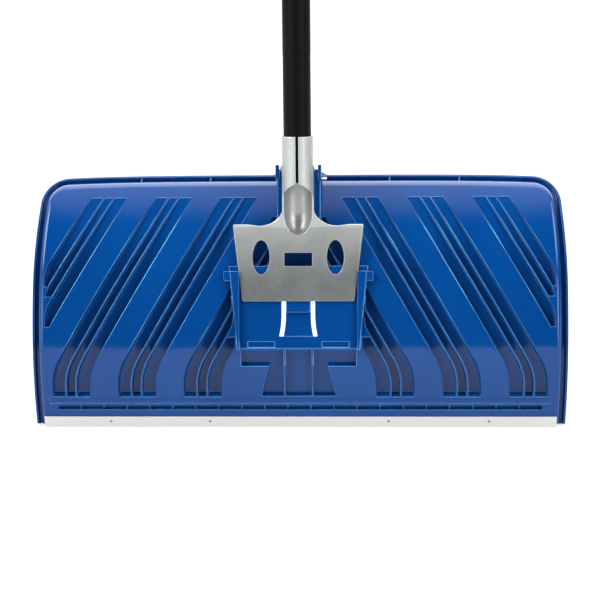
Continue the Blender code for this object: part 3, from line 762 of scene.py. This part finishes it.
# Pocket, channel and guide arms, which stay flat
def pocket(shell):
    """A flat floor with a lipped rail on each side and a ledge at its foot; the plate slides in."""
    low = POCKET_LOW - LEDGE
    high = FLOOR_HIGH
    reach = RAIL_WALL + ROOT
    floor = []
    for z in spread(low, high, 6):
        floor.append(row(rail_line(z) + reach, POCKET_FLOOR, drop(z) + SHEET / 2, z))
    add(shell, loft("pocket_floor", floor))

    def rails(side):
        loops = []
        for z in (low, POCKET_HIGH):
            outer = rail_line(z) + RAIL_WALL
            points = [(LIP_EDGE + SOFT, -RAIL_TOP), (outer - SOFT, -RAIL_TOP)]
            points += [(outer - SOFT * 0.3, -RAIL_TOP + SOFT * 0.3), (outer, -RAIL_TOP + SOFT)]
            points += [(outer, 2 * ROOT), (LIP_EDGE, 2 * ROOT), (LIP_EDGE, -RAIL_TOP + SOFT)]
            loops.append([(side * x, y, z) for x, y in points])
        return [loft("rail", loops)]

    def boxes(side):
        near, far = sorted((side * BOX_IN, side * BOX_REACH))
        back = drop(BOX_LOW) + SHEET / 2
        return [soft_block("box", (near, -BOX_RISE, BOX_LOW), (far, back, POCKET_HIGH))]

    add(shell, *both_sides(rails))
    add(shell, *both_sides(boxes))
    wide = RAIL_IN_LOW + ROOT
    add(shell, soft_block("ledge", (-wide, -LEDGE_HEIGHT, low), (wide, 0.0012, POCKET_LOW)))
    heights = (POCKET_LOW, POCKET_HIGH + CUTTER_REACH)
    cut(shell, loft("plate_path", [row(rail_line(z), -LIP_UNDER, POCKET_FLOOR, z) for z in heights]))
    pads = []
    for side in (1.0, -1.0):
        near, far = sorted((side * PAD_X[0], side * PAD_X[1]))
        low_corner = (near, -ROOT, PAD_Z[0])
        pads.append(block("pad", low_corner, (far, POCKET_FLOOR + PAD_DEPTH, PAD_Z[1])))
    cut(shell, gather("pads", pads))


def arm_fillet(side):
    """The curved web that runs from an arm down to the lip."""
    top = top_at(ARM_OUT, 0.0)
    points = [(ARM_IN + ROOT, top - LIP / 2)]
    for angle in quarter(8):
        x = ARM_OUT + ARM_FILLET * (1 - math.sin(angle))
        points.append((x, top + ARM_FILLET_RISE * (1 - math.cos(angle)) - MARGIN))
    points.append((ARM_IN + ROOT, points[-1][1]))
    outline = [(side * x, z) for x, z in points]
    back = drop(top)
    return [prism("arm_fillet", outline, back + RIM_TOP + 0.002, back + RIM_FLOOR)]


def channel(shell):
    """The flat floor behind the socket: cut into the sheet low down, and standing on it above."""
    skin = CHANNEL_SKIN
    out = CHANNEL_HALF + skin
    deep = CHANNEL_FLOOR + skin
    meet = CURVE_MIDDLE + math.sqrt(CURVE_RADIUS ** 2 - (CURVE_RADIUS - CHANNEL_FLOOR) ** 2)
    trough = []
    for z in spread(CHANNEL_LOW - skin, meet + ROOT, 6):
        trough.append(row(out, drop(z) + SHEET / 2, deep, z))
    add(shell, loft("trough", trough))
    ramp = []
    for z in spread(meet - 2 * ROOT, CHANNEL_TOP, 7):
        back = drop(z) + (RAMP_ROOT if z < BLADE_TOP - RIM_INSET else RIM_FLOOR + ROOT)
        ramp.append(row(out + RAMP_PAST, CHANNEL_FLOOR, back, z))
    add(shell, loft("ramp", ramp))
    arms = []
    for side in (1.0, -1.0):
        near, far = sorted((side * ARM_IN, side * ARM_OUT))
        back = drop(ARM_LOW) + ARM_BACK
        arms.append(soft_block("arm", (near, ARM_REACH, ARM_LOW), (far, back, ARM_TOP), ARM_ROUND))
    add(shell, *arms)
    add(shell, *both_sides(arm_fillet))
    path_low = (-CHANNEL_HALF, -2 * PAST, CHANNEL_LOW)
    cut(shell, block("socket_path", path_low, (CHANNEL_HALF, CHANNEL_FLOOR, ARM_TOP + PAST)))
    half = CHANNEL_HALF - ROOT
    hollow_low = (-half, deep, meet + RAMP_HOLLOW[0])
    cut(shell, block("ramp_hollow", hollow_low, (half, TOP_FAR, BLADE_TOP - RAMP_HOLLOW[1])))
    loop_low = (ARM_IN + ARM_LOOP, ARM_REACH - PAST, ARM_LOW - PAST)
    loop_high = (ARM_OUT - ARM_LOOP, ARM_REACH + ARM_LOOP_DEEP, ARM_TOP - ARM_LOOP)
    cut(shell, block("arm_loop", loop_low, loop_high))
    drain_low = (ARM_OUT + DRAIN_X[0], TOP_NEAR, BLADE_TOP - DRAIN_LOW)
    cut(shell, block("drain", drain_low, (ARM_OUT + DRAIN_X[1], TOP_FAR, BLADE_TOP - LIP)))


def tongue_outline(grow, low, high):
    """Narrow at its tip and flared toward its root; grow widens it on both sides."""
    right = [(TONGUE_ROOT_HALF + grow, low)]
    bend = TONGUE_FLARE - low
    for share in spread(0.35, 1.0, 5):
        extra = (TONGUE_ROOT_HALF - TONGUE_HALF) * (1 - share) ** 2
        right.append((TONGUE_HALF + grow + extra, low + bend * share))
    return mirrored(right + [(TONGUE_HALF + grow, high)])


def tongue_window(shell):
    """The opening that the tongue lies in, with its slots left open on both sides."""
    outline = tongue_outline(TONGUE_SLOT, TONGUE_ROOT, TONGUE_TIP + TIP_GAP)
    cut(shell, prism("tongue_window", outline, -PAST, THROUGH_SHEET))


# Lower edge line, where the wear strip and its rivets sit
def edge_frame():
    """A frame at the sheet's lower edge: X across, Z up the sheet, Y into it."""
    slope = math.asin((CURVE_MIDDLE - SHEET_LOW) / CURVE_RADIUS)
    place = Matrix.Translation((0.0, drop(SHEET_LOW), SHEET_LOW))
    return place @ Matrix.Rotation(slope, 4, "X")


def sheet_across():
    """The sheet's thickness measured square to its lower edge."""
    return SHEET * math.cos(math.asin((CURVE_MIDDLE - SHEET_LOW) / CURVE_RADIUS))


def strip_seat(shell):
    """Clear the front of the sheet, corner fillets too, where the wear strip's front leg lies."""
    half = STRIP_HALF + 2 * GAP
    seat = block("strip_seat", (-half, sheet_across(), -PAST), (half, 2 * PAST, STRIP_FRONT + GAP))
    cut(shell, move(seat, edge_frame()))


def rivet_holes(thing):
    holes = []
    for x in RIVET_X + tuple(-x for x in RIVET_X):
        place = Matrix.Translation((x, 0.0, RIVET_UP)) @ Matrix.Rotation(-math.pi / 2, 4, "X")
        hole = rod("hole", RIVET_RADIUS + GAP, -PAST, THROUGH_SHEET, 16)
        holes.append(move(hole, edge_frame() @ place))
    cut(thing, gather("rivet_holes", holes))


def make_blade():
    shell = blade_shell()
    gussets(shell)
    grooves(shell)
    lower_edge(shell)
    recess(shell)
    curve_sheet(shell)
    pocket(shell)
    channel(shell)
    tongue_window(shell)
    strip_seat(shell)
    rivet_holes(shell)
    return move(shell, blade_place())


def make_tongue():
    """The snap tongue, with the wedge on it that latches into the plate's slot."""
    back = POCKET_FLOOR
    outline = tongue_outline(0.0, TONGUE_ROOT - MARGIN, TONGUE_TIP)
    tongue = soft_prism("tongue_fine", outline, back, back + TONGUE_THICK, SOFT)
    wedge = [(ROOT, LATCH_LOW), (SOFT - LATCH_RISE, LATCH_LOW), (-LATCH_RISE, LATCH_LOW + SOFT)]
    wedge += [(-LATCH_RISE, LATCH_LOW + LATCH_FLAT), (back, LATCH_HIGH), (ROOT, LATCH_HIGH)]
    add(tongue, loft("latch", [[(x, y, z) for y, z in wedge] for x in (-LATCH_HALF, LATCH_HALF)]))
    return move(tongue, blade_place())


def make_strip():
    """A folded strip, open upward, around the sheet's lower edge, with a round fold."""
    near = -GAP
    far = sheet_across() + GAP
    low = STRIP_FOLD
    lip = STRIP_SHEET / 2
    section = arc(near - lip, STRIP_BACK - lip, lip, 180.0, 0.0, 4) + [(near, low), (far, low)]
    section += arc(far + lip, STRIP_FRONT - lip, lip, 180.0, 0.0, 4)
    section += arc(far, low, STRIP_SHEET, 0.0, -90.0, 5) + arc(near, low, STRIP_SHEET, -90.0, -180.0, 5)
    loops = [[(x, y, z) for y, z in section] for x in spread(-STRIP_HALF, STRIP_HALF, 25)]
    strip = move(loft("strip_fine", loops), edge_frame())
    rivet_holes(strip)
    return move(strip, blade_place())


# Bracket
def socket_opening():
    """The slit and the almond opening under it, as a cutter over the front of the socket."""
    right = [(SLIT_HALF, SOCKET_TOP + PAST), (SLIT_HALF, SLIT_END - 0.0005)]
    for share in spread(0.0, 1.0, 19)[1:]:
        half = OPENING_HALF * math.sin(math.pi / 2 * share ** 0.8)
        right.append((max(half, SLIT_HALF + MARGIN), SLIT_END - share * (SLIT_END - OPENING_FULL)))
    right += [(OPENING_REACH, OPENING_CORNER), (OPENING_REACH, -2 * MARGIN)]
    return prism("socket_opening", mirrored(right), -CUTTER_REACH, -PLATE_SHEET / 2)


def bowl(name, radius, reach, high):
    """A rod along Z; below BOWL_START it narrows along an ellipse that ends reach below the bend."""
    profile = []
    for angle in quarter(18)[1:]:
        profile.append((radius * math.sin(angle), BOWL_START - (BOWL_START + reach) * math.cos(angle)))
    profile.append((radius, high))
    return turned(name, profile, 64)


def shoulders():
    """The plate's upper edge, beyond the bend, with the fillets that run up to the socket."""
    right = [(PLATE_TOP_HALF - 0.0003, -0.0008), (PLATE_TOP_HALF - 0.0002, EAR_RISE - 0.0010)]
    right += [(PLATE_TOP_HALF - 0.0012, EAR_RISE), (EAR_X + 0.006, EAR_RISE), (EAR_X, EAR_RISE - 0.0007)]
    right.append((SHOULDER_X, SHOULDER_LOW))
    for angle in quarter(18)[1:]:
        x = SHOULDER_X - (SHOULDER_X - SOCKET_RADIUS + 0.0004) * math.sin(angle)
        right.append((x, SHOULDER_LOW + SHOULDER_RISE * (1 - math.cos(angle))))
    return soft_prism("shoulders", mirrored(right), -PLATE_SHEET / 2, PLATE_SHEET / 2, PLATE_ROUND)


def make_bracket():
    """A sheet folded at the bend and rolled up into a socket, with a bowl at its foot."""
    half = PLATE_SHEET / 2
    flat = Matrix.Rotation(-BRACKET_BEND, 4, "X")
    corner = CORNER_CUT
    outline = [(-PLATE_LOW_HALF + corner, -PLATE_BEND), (PLATE_LOW_HALF - corner, -PLATE_BEND)]
    outline += [(PLATE_LOW_HALF, -PLATE_BEND + corner), (PLATE_TOP_HALF - 2 * MARGIN, ROOT)]
    outline += [(-PLATE_TOP_HALF + 2 * MARGIN, ROOT), (-PLATE_LOW_HALF, -PLATE_BEND + corner)]
    bracket = soft_prism("bracket_fine", outline, -half, half, PLATE_ROUND)
    wide, tall = OVAL_HALF
    turns = [2 * math.pi * step / 48 for step in range(48)]
    holes = []
    for middle in (OVAL_X, -OVAL_X):
        points = [(middle + wide * math.cos(a), OVAL_Z - PLATE_BEND + tall * math.sin(a)) for a in turns]
        holes.append(soft_hole("oval", points, -half, half, HOLE_ROUND))
    middle = PLATE_SLOT_Z - PLATE_BEND
    points = rectangle((-PLATE_SLOT_HALF[0], 0, middle - PLATE_SLOT_HALF[1]),
                       (PLATE_SLOT_HALF[0], 0, middle + PLATE_SLOT_HALF[1]))
    holes.append(soft_hole("slot", points, -half, half, PLATE_ROUND * 0.6))
    cut(bracket, gather("plate_holes", holes))
    near_the_bend = [-0.030, -0.012, -0.005, -0.002]
    slice_across(bracket, near_the_bend)
    move(bracket, flat)
    add(bracket, shoulders())
    add(bracket, bowl("socket", SOCKET_RADIUS, BOWL_REACH, SOCKET_TOP))
    cut(bracket, bowl("bore", POLE_RADIUS + GAP, BOWL_REACH - PLATE_SHEET, SOCKET_TOP + PAST))
    cut(bracket, socket_opening())
    bowl_low = (-OPENING_REACH, -CUTTER_REACH, -2 * PAST)
    cut(bracket, move(block("bowl_front", bowl_low, (OPENING_REACH, -half, 0.0)), flat))
    cut(bracket, cross_hole(SOCKET_RIVET_Z))
    return move(bracket, socket_place())


# Grip
def grip_path():
    """The ring's middle line, as (x, z) points: a straight top with round corners and a round foot."""
    top = GRIP_TOP - GRIP_BAR_DOWN
    shoulder = top - GRIP_CORNER
    corner = arc(GRIP_HALF - GRIP_CORNER, shoulder, GRIP_CORNER, 0.0, 90.0, 12)
    path = corner + [(x, top) for x in spread(GRIP_BAR_HALF, -GRIP_BAR_HALF, 7)]
    path += [(-x, z) for x, z in reversed(corner)]
    middle = shoulder - GRIP_BELLY[0]
    half = GRIP_HALF + GRIP_BELLY[1]
    drop_to_foot = middle - GRIP_YOKE - GRIP_FOOT
    for angle in quarter(32, 180.0, 360.0)[1:-1]:
        path.append((half * math.cos(angle), middle + drop_to_foot * math.sin(angle)))
    return path


def grip_loop():
    """The ring of the D-grip: an oval section swept around a D, thicker along its top."""
    path = grip_path()
    loops = []
    for index, (x, z) in enumerate(path):
        before = Vector(path[index - 1])
        after = Vector(path[(index + 1) % len(path)])
        along = (after - before).normalized()
        out = Vector((along.y, -along.x))
        swell = min(1.0, max(0.0, (z - GRIP_TOP + GRIP_SWELL[0]) / (GRIP_SWELL[0] - GRIP_SWELL[1])))
        swell = swell * swell * (3 - 2 * swell)
        wide = GRIP_SIDE[0] + (GRIP_BAR[0] - GRIP_SIDE[0]) * swell
        deep = GRIP_SIDE[1] + (GRIP_BAR[1] - GRIP_SIDE[1]) * swell
        loop = []
        for turn in range(32):
            angle = 2 * math.pi * turn / 32
            shift = out * wide * math.cos(angle)
            loop.append((x + shift.x, deep * math.sin(angle), z + shift.y))
        loops.append(loop)
    return loft("grip_fine", loops, closed=True)


def make_grip():
    """The ring, with the ferrule under it that takes the pole."""
    grip = grip_loop()
    profile = [(GRIP_FERRULE - inset, GRIP_LOW + depth) for depth, inset in fillet(MOUTH_ROUND, 4)]
    wide = GRIP_FERRULE + FERRULE_FLARE
    foot = GRIP_YOKE + DOME_START
    profile += [(GRIP_FERRULE + FERRULE_FLARE / 2, GRIP_YOKE - FLARE_LENGTH), (wide, foot)]
    for angle in quarter(5)[1:]:
        x = GRIP_NECK + (wide - GRIP_NECK) * math.cos(angle)
        profile.append((x, foot + DOME_HEIGHT * math.sin(angle)))
    add(grip, turned("ferrule", profile))
    cut(grip, rod("grip_bore", POLE_RADIUS + GAP, GRIP_LOW - PAST, POLE_HIGH + GAP))
    cut(grip, cross_hole(GRIP_RIVET_Z))
    return move(grip, socket_place())


# Where the blade's frame and the socket's frame stand
def socket_place():
    low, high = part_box("pole")
    return Matrix.Translation((0, (low.y + high.y) / 2, low.z - POLE_LOW))


def blade_place():
    lower = Matrix.Translation((0, PLATE_SHEET / 2, -(PLATE_REST + PLATE_BEND)))
    return socket_place() @ Matrix.Rotation(-BRACKET_BEND, 4, "X") @ lower


# Shader nodes
def feed(tree, made, **inputs):
    """Set some of a node's inputs, or link them where the value is a socket.

    Inputs go by name, with _ for a space, or by number, as _0.
    """
    for name, value in inputs.items():
        key = int(name[1:]) if name[1:].isdigit() else name.replace("_", " ")
        if isinstance(value, bpy.types.NodeSocket):
            tree.links.new(value, made.inputs[key])
        else:
            made.inputs[key].default_value = value
    return made


def node(tree, kind, **inputs):
    return feed(tree, tree.nodes.new(kind), **inputs)


def smooth_range(tree, value, low, high, out_low, out_high):
    """A smooth ramp from out_low to out_high as value goes from low to high."""
    made = node(tree, "ShaderNodeMapRange", Value=value, From_Min=low, From_Max=high,
                To_Min=out_low, To_Max=out_high)
    made.interpolation_type = "SMOOTHSTEP"
    return made.outputs["Result"]


def math_node(tree, operation, first, second=0.0):
    made = node(tree, "ShaderNodeMath", _0=first, _1=second)
    made.operation = operation
    return made.outputs[0]


def dot_product(tree, first, second):
    made = node(tree, "ShaderNodeVectorMath", _0=first, _1=second)
    made.operation = "DOT_PRODUCT"
    return made.outputs["Value"]


def separate(tree, vector):
    """The three components of a vector."""
    return node(tree, "ShaderNodeSeparateXYZ", Vector=vector).outputs


def bump_range(tree, value, start, full, fall, end, height=1.0):
    """Rises smoothly from start to full and falls again from fall to end."""
    rise = smooth_range(tree, value, start, full, 0.0, height)
    return math_node(tree, "MULTIPLY", rise, smooth_range(tree, value, fall, end, 1.0, 0.0))


def facing_normal(tree):
    return tree.nodes.new("ShaderNodeNewGeometry").outputs["Normal"]


# Stage, light and camera
def direction(turn, rise):
    """A unit vector, turn degrees to the right of the blade's back and rise degrees up."""
    turn = math.radians(turn)
    rise = math.radians(rise)
    return Vector((math.sin(turn) * math.cos(rise), -math.cos(turn) * math.cos(rise), math.sin(rise)))


def softbox(tree, toward, turn, rise, strength):
    """A small round light in one direction."""
    near = dot_product(tree, toward, direction(turn, rise))
    return smooth_range(tree, near, *SOFTBOX_EDGE, 0.0, strength)


def make_studio():
    """A bright overhead light, a bright wall on the left and a dimmer one on the right, a light
    high up beyond the blade, and four softboxes. The camera itself sees a plain white backdrop."""
    world = bpy.data.worlds.new("studio")
    bpy.context.scene.world = world
    world.use_nodes = True
    tree = world.node_tree
    tree.nodes.clear()
    toward = tree.nodes.new("ShaderNodeTexCoord").outputs["Generated"]
    x, y, z = separate(tree, toward)
    turn = math_node(tree, "ARCTAN2", x, math_node(tree, "MULTIPLY", y, -1.0))
    lights = [
        smooth_range(tree, z, *OVERHEAD_EDGE, 0.0, OVERHEAD),
        smooth_range(tree, z, *ZENITH_EDGE, 0.0, ZENITH),
        bump_range(tree, turn, *LEFT_WALL_EDGES, LEFT_WALL),
        bump_range(tree, turn, *RIGHT_WALL_EDGES, RIGHT_WALL),
        smooth_range(tree, y, *BEHIND_EDGE, 0.0, BEHIND),
        math_node(tree, "MULTIPLY", smooth_range(tree, y, *BEYOND_NEAR, 0.0, 1.0),
                  smooth_range(tree, z, *BEYOND_LOW, 0.0, BEYOND)),
    ]
    lights += [softbox(tree, toward, *box) for box in SOFTBOXES]
    total = AMBIENT
    for part in lights:
        total = math_node(tree, "ADD", total, part)
    light = node(tree, "ShaderNodeBackground", Color=(1, 1, 1, 1), Strength=total)
    backdrop = node(tree, "ShaderNodeBackground", Color=(1, 1, 1, 1), Strength=BACKDROP)
    by_camera = tree.nodes.new("ShaderNodeLightPath").outputs["Is Camera Ray"]
    seen = node(tree, "ShaderNodeMixShader", _0=by_camera, _1=light.outputs[0], _2=backdrop.outputs[0])
    node(tree, "ShaderNodeOutputWorld", Surface=seen.outputs[0])


def make_floor():
    """A pale floor that glows a little, so that it stays white under the dark side of the light."""
    shape = bmesh.new()
    bmesh.ops.create_grid(shape, x_segments=1, y_segments=1, size=FLOOR_REACH)
    floor = as_object("floor", shape)
    floor.location.z = cad_box[0].z - 2 * MARGIN
    look = bpy.data.materials.new("floor_white")
    look.use_nodes = True
    tree = look.node_tree
    feed(tree, tree.nodes["Principled BSDF"], Base_Color=(0.22, 0.22, 0.22, 1), Roughness=0.9,
         Specular_IOR_Level=0.1, Emission_Color=(1, 1, 1, 1), Emission_Strength=0.75)
    floor.data.materials.append(look)


def make_camera():
    """Looks at the middle of the blade's sheet from above and slightly from its right."""
    back = direction(CAMERA_AZIMUTH, CAMERA_ELEVATION)
    lens = bpy.data.cameras.new("camera")
    lens.lens = lens.sensor_width * CAMERA_DISTANCE / VIEW_WIDTH
    camera = new_object("camera", lens)
    camera.location = Vector(CAMERA_AIM) + back * CAMERA_DISTANCE
    look = (-back).to_track_quat("-Z", "Y")
    camera.rotation_mode = "QUATERNION"
    roll = Matrix.Rotation(math.radians(CAMERA_ROLL), 3, "Z")
    camera.rotation_quaternion = look @ roll.to_quaternion()
    bpy.context.scene.camera = camera


# Materials
def new_look(name, roughness, metallic=0.0, specular=0.5):
    """An empty look: its node tree, its shader, and the coordinates fixed to the piece."""
    look = bpy.data.materials.new(name)
    look.use_nodes = True
    tree = look.node_tree
    shader = feed(tree, tree.nodes["Principled BSDF"], Roughness=roughness, Metallic=metallic,
                  Specular_IOR_Level=specular)
    place = tree.nodes.new("ShaderNodeTexCoord").outputs["Object"]
    return look, tree, shader, place


def noise(tree, place, scale, detail=2.0, stretch=(1, 1, 1)):
    """Noise at so many features a metre, stretched along the piece's axes."""
    scaled = node(tree, "ShaderNodeMapping", Vector=place, Scale=stretch)
    cloud = node(tree, "ShaderNodeTexNoise", Vector=scaled.outputs[0], Scale=scale, Detail=detail)
    return cloud.outputs[0]


def tint(tree, shader, value, low, high, dark, light):
    """The base colour goes from dark to light as value goes from low to high."""
    ramp = tree.nodes.new("ShaderNodeValToRGB")
    tree.links.new(value, ramp.inputs[0])
    for stop, position, colour in zip(ramp.color_ramp.elements, (low, high), (dark, light)):
        stop.position = position
        stop.color = (*colour, 1)
    tree.links.new(ramp.outputs[0], shader.inputs["Base Color"])


def cover(tree, shader, share, colour):
    """Covers a share of the base colour with another one."""
    mixed = tree.nodes.new("ShaderNodeMix")
    mixed.data_type = "RGBA"
    base = shader.inputs["Base Color"]
    feed(tree, mixed, Factor=share, _6=base.links[0].from_socket, _7=(*colour, 1))
    tree.links.new(mixed.outputs[2], base)


def paint_edge_highlight(tree, shader, colour, reach):
    """Paints a colour along the sharp edges, up to reach from them, where a bevel would turn away: a
    painted highlight in place of light caught by the edges.
    """
    soft = node(tree, "ShaderNodeBevel", Radius=reach)
    soft.samples = 8
    turned_away = dot_product(tree, soft.outputs[0], facing_normal(tree))
    cover(tree, shader, smooth_range(tree, turned_away, 0.985, 0.80, 0.0, 1.0), colour)


def paint_groove_highlights(tree, shader, place, colour):
    """Painted highlights: pale stretches along the rounded edges of the blade's grooves, in place of
    glints from the light.
    """
    facing_x, facing_y, _ = separate(tree, facing_normal(tree))
    across, _, height = separate(tree, place)
    rounded = bump_range(tree, math_node(tree, "ABSOLUTE", facing_x), 0.18, 0.30, 0.48, 0.60)
    on_back = smooth_range(tree, facing_y, -0.30, -0.45, 0.0, 1.0)
    beside = bump_range(tree, math_node(tree, "ABSOLUTE", across), 0.095, 0.105, 0.280, 0.286)
    halfway = bump_range(tree, height, 0.075, 0.115, 0.205, 0.245)
    share = smooth_range(tree, noise(tree, place, 11.0), 0.42, 0.58, 0.30, 1.0)
    for limit in (rounded, on_back, beside, halfway):
        share = math_node(tree, "MULTIPLY", share, limit)
    cover(tree, shader, share, colour)


def roughen(tree, shader, value, low, high):
    """The roughness goes from low to high with a noise."""
    spread_out = node(tree, "ShaderNodeMapRange", Value=value, From_Min=0.3, From_Max=0.7,
                      To_Min=low, To_Max=high)
    tree.links.new(spread_out.outputs[0], shader.inputs["Roughness"])


def relief(tree, shader, value, height, edge):
    """Surface relief of a given height in metres, with the piece's sharp edges softened by edge."""
    soft = node(tree, "ShaderNodeBevel", Radius=edge)
    soft.samples = 6
    raised = node(tree, "ShaderNodeBump", Strength=1.0, Distance=height, Height=value,
                  Normal=soft.outputs[0])
    tree.links.new(raised.outputs[0], shader.inputs["Normal"])


def blue_poly():
    """Glossy moulded poly: faint flow streaks in its colour, the slight waves of a moulding, and painted
    highlights along its edges and grooves.
    """
    look, tree, shader, place = new_look("blue_poly", 0.10, 0.0, 0.33)
    flow = noise(tree, place, 14.0, 3.0, (1.0, 1.0, 0.35))
    tint(tree, shader, flow, 0.3, 0.7, dark=(0.0004, 0.034, 0.158), light=(0.0006, 0.041, 0.183))
    # Painted highlight: a light blue along the sharp edges and the rib tops
    paint_edge_highlight(tree, shader, (0.100, 0.340, 0.780), 0.0013)
    # Painted highlight: pale streaks on the rounded edges of the grooves
    paint_groove_highlights(tree, shader, place, (0.12, 0.60, 1.00))
    roughen(tree, shader, noise(tree, place, 60.0, 4.0), 0.06, 0.10)
    grain = math_node(tree, "MULTIPLY", noise(tree, place, 900.0), 0.008)
    waves = math_node(tree, "ADD", noise(tree, place, 15.0, 1.0), grain)
    relief(tree, shader, waves, 0.0004, 0.0007)
    return look


def zinc_sheet(name, dark, light, rough, edge, spangle, low, high):
    """Galvanised sheet with pale spangles, small dull patches and fine brushing across it; painted light
    makes it duller toward height low and brighter toward high, and a painted highlight brightens its
    edges."""
    look, tree, shader, place = new_look(name, rough, 0.55)
    cells = node(tree, "ShaderNodeTexVoronoi", Vector=place, Scale=spangle)
    crystal = node(tree, "ShaderNodeSeparateColor", Color=cells.outputs["Color"]).outputs[0]
    cloud = noise(tree, place, 30.0, 4.0)
    pale = math_node(tree, "MULTIPLY", crystal, 0.06)
    patches = math_node(tree, "ADD", pale, math_node(tree, "MULTIPLY", cloud, 0.30))
    # Painted light: the colour gets brighter with height, from low to high
    height = separate(tree, place)[2]
    value = math_node(tree, "ADD", patches, smooth_range(tree, height, low, high, 0.0, 0.64))
    tint(tree, shader, value, 0.1, 0.9, dark, light)
    # Painted highlight: a paler zinc along the sharp edges
    paint_edge_highlight(tree, shader, [min(1.0, share * 1.7) for share in light], edge)
    roughen(tree, shader, cloud, rough - 0.03, rough + 0.03)
    brushed = noise(tree, place, 700.0, 3.0, (0.06, 1.0, 1.0))
    relief(tree, shader, brushed, 0.00003, edge)
    return look


def bracket_zinc():
    """Painted light: dull on the plate, and brighter from the bend up."""
    bend = socket_place().translation.z
    return zinc_sheet("bracket_zinc", dark=(0.150, 0.160, 0.165), light=(0.42, 0.435, 0.425), rough=0.36,
                      edge=0.0014, spangle=260.0, low=bend - 0.06, high=bend + 0.01)


def strip_zinc():
    return zinc_sheet("strip_zinc", dark=(0.52, 0.52, 0.51), light=(0.58, 0.58, 0.57), rough=0.32,
                      edge=0.0005, spangle=200.0, low=-0.2, high=0.0)


def rivet_zinc():
    return zinc_sheet("rivet_zinc", dark=(0.26, 0.27, 0.26), light=(0.40, 0.41, 0.40), rough=0.36,
                      edge=0.0004, spangle=400.0, low=0.1, high=0.3)


def strip_rivet_zinc():
    """Darker than the strip, so that the small rivets show on it."""
    return zinc_sheet("strip_rivet_zinc", dark=(0.10, 0.10, 0.10), light=(0.18, 0.18, 0.18), rough=0.40,
                      edge=0.0003, spangle=400.0, low=-0.2, high=0.0)


def pole_coat():
    """Powder coat on the tube: almost black, satin, with a fine orange peel."""
    look, tree, shader, place = new_look("pole_coat", 0.42, 0.0, 0.08)
    tone = noise(tree, place, 120.0, 3.0)
    tint(tree, shader, tone, 0.3, 0.7, dark=(0.0014, 0.0013, 0.0011), light=(0.0020, 0.0018, 0.0016))
    roughen(tree, shader, noise(tree, place, 300.0), 0.38, 0.46)
    relief(tree, shader, noise(tree, place, 1500.0, 1.0), 0.00001, 0.0005)
    return look


def grip_poly():
    """Matte moulded grip with a fine, pebbled grain."""
    look, tree, shader, place = new_look("grip_poly", 0.55, 0.0, 0.2)
    tone = noise(tree, place, 80.0, 3.0)
    tint(tree, shader, tone, 0.3, 0.7, dark=(0.004, 0.004, 0.004), light=(0.007, 0.007, 0.007))
    roughen(tree, shader, noise(tree, place, 200.0), 0.48, 0.62)
    grain = node(tree, "ShaderNodeTexVoronoi", Vector=place, Scale=900.0).outputs["Distance"]
    relief(tree, shader, grain, 0.00010, 0.0008)
    return look


def dress(look, *names):
    """Gives a look to pieces that are carried over from the CAD."""
    for name in names:
        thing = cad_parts[name]
        thing.data.materials.clear()
        thing.data.materials.append(look)


def main():
    bpy.context.scene.view_settings.view_transform = "Standard"
    make_studio()
    make_floor()
    make_camera()
    blue = blue_poly()
    finish(make_blade(), blue, "blade", "blade")
    finish(make_tongue(), blue, "tongue", "snap_tongue")
    finish(make_strip(), strip_zinc(), "blade", "wear_strip")
    finish(make_bracket(), bracket_zinc(), "handle", "socket_bracket")
    finish(make_grip(), grip_poly(), "handle", "d_grip")
    dress(pole_coat(), "pole")
    dress(rivet_zinc(), "socket_rivet", "grip_rivet")
    dress(strip_rivet_zinc(), "strip_rivet_1", "strip_rivet_2", "strip_rivet_3", "strip_rivet_4")


main()
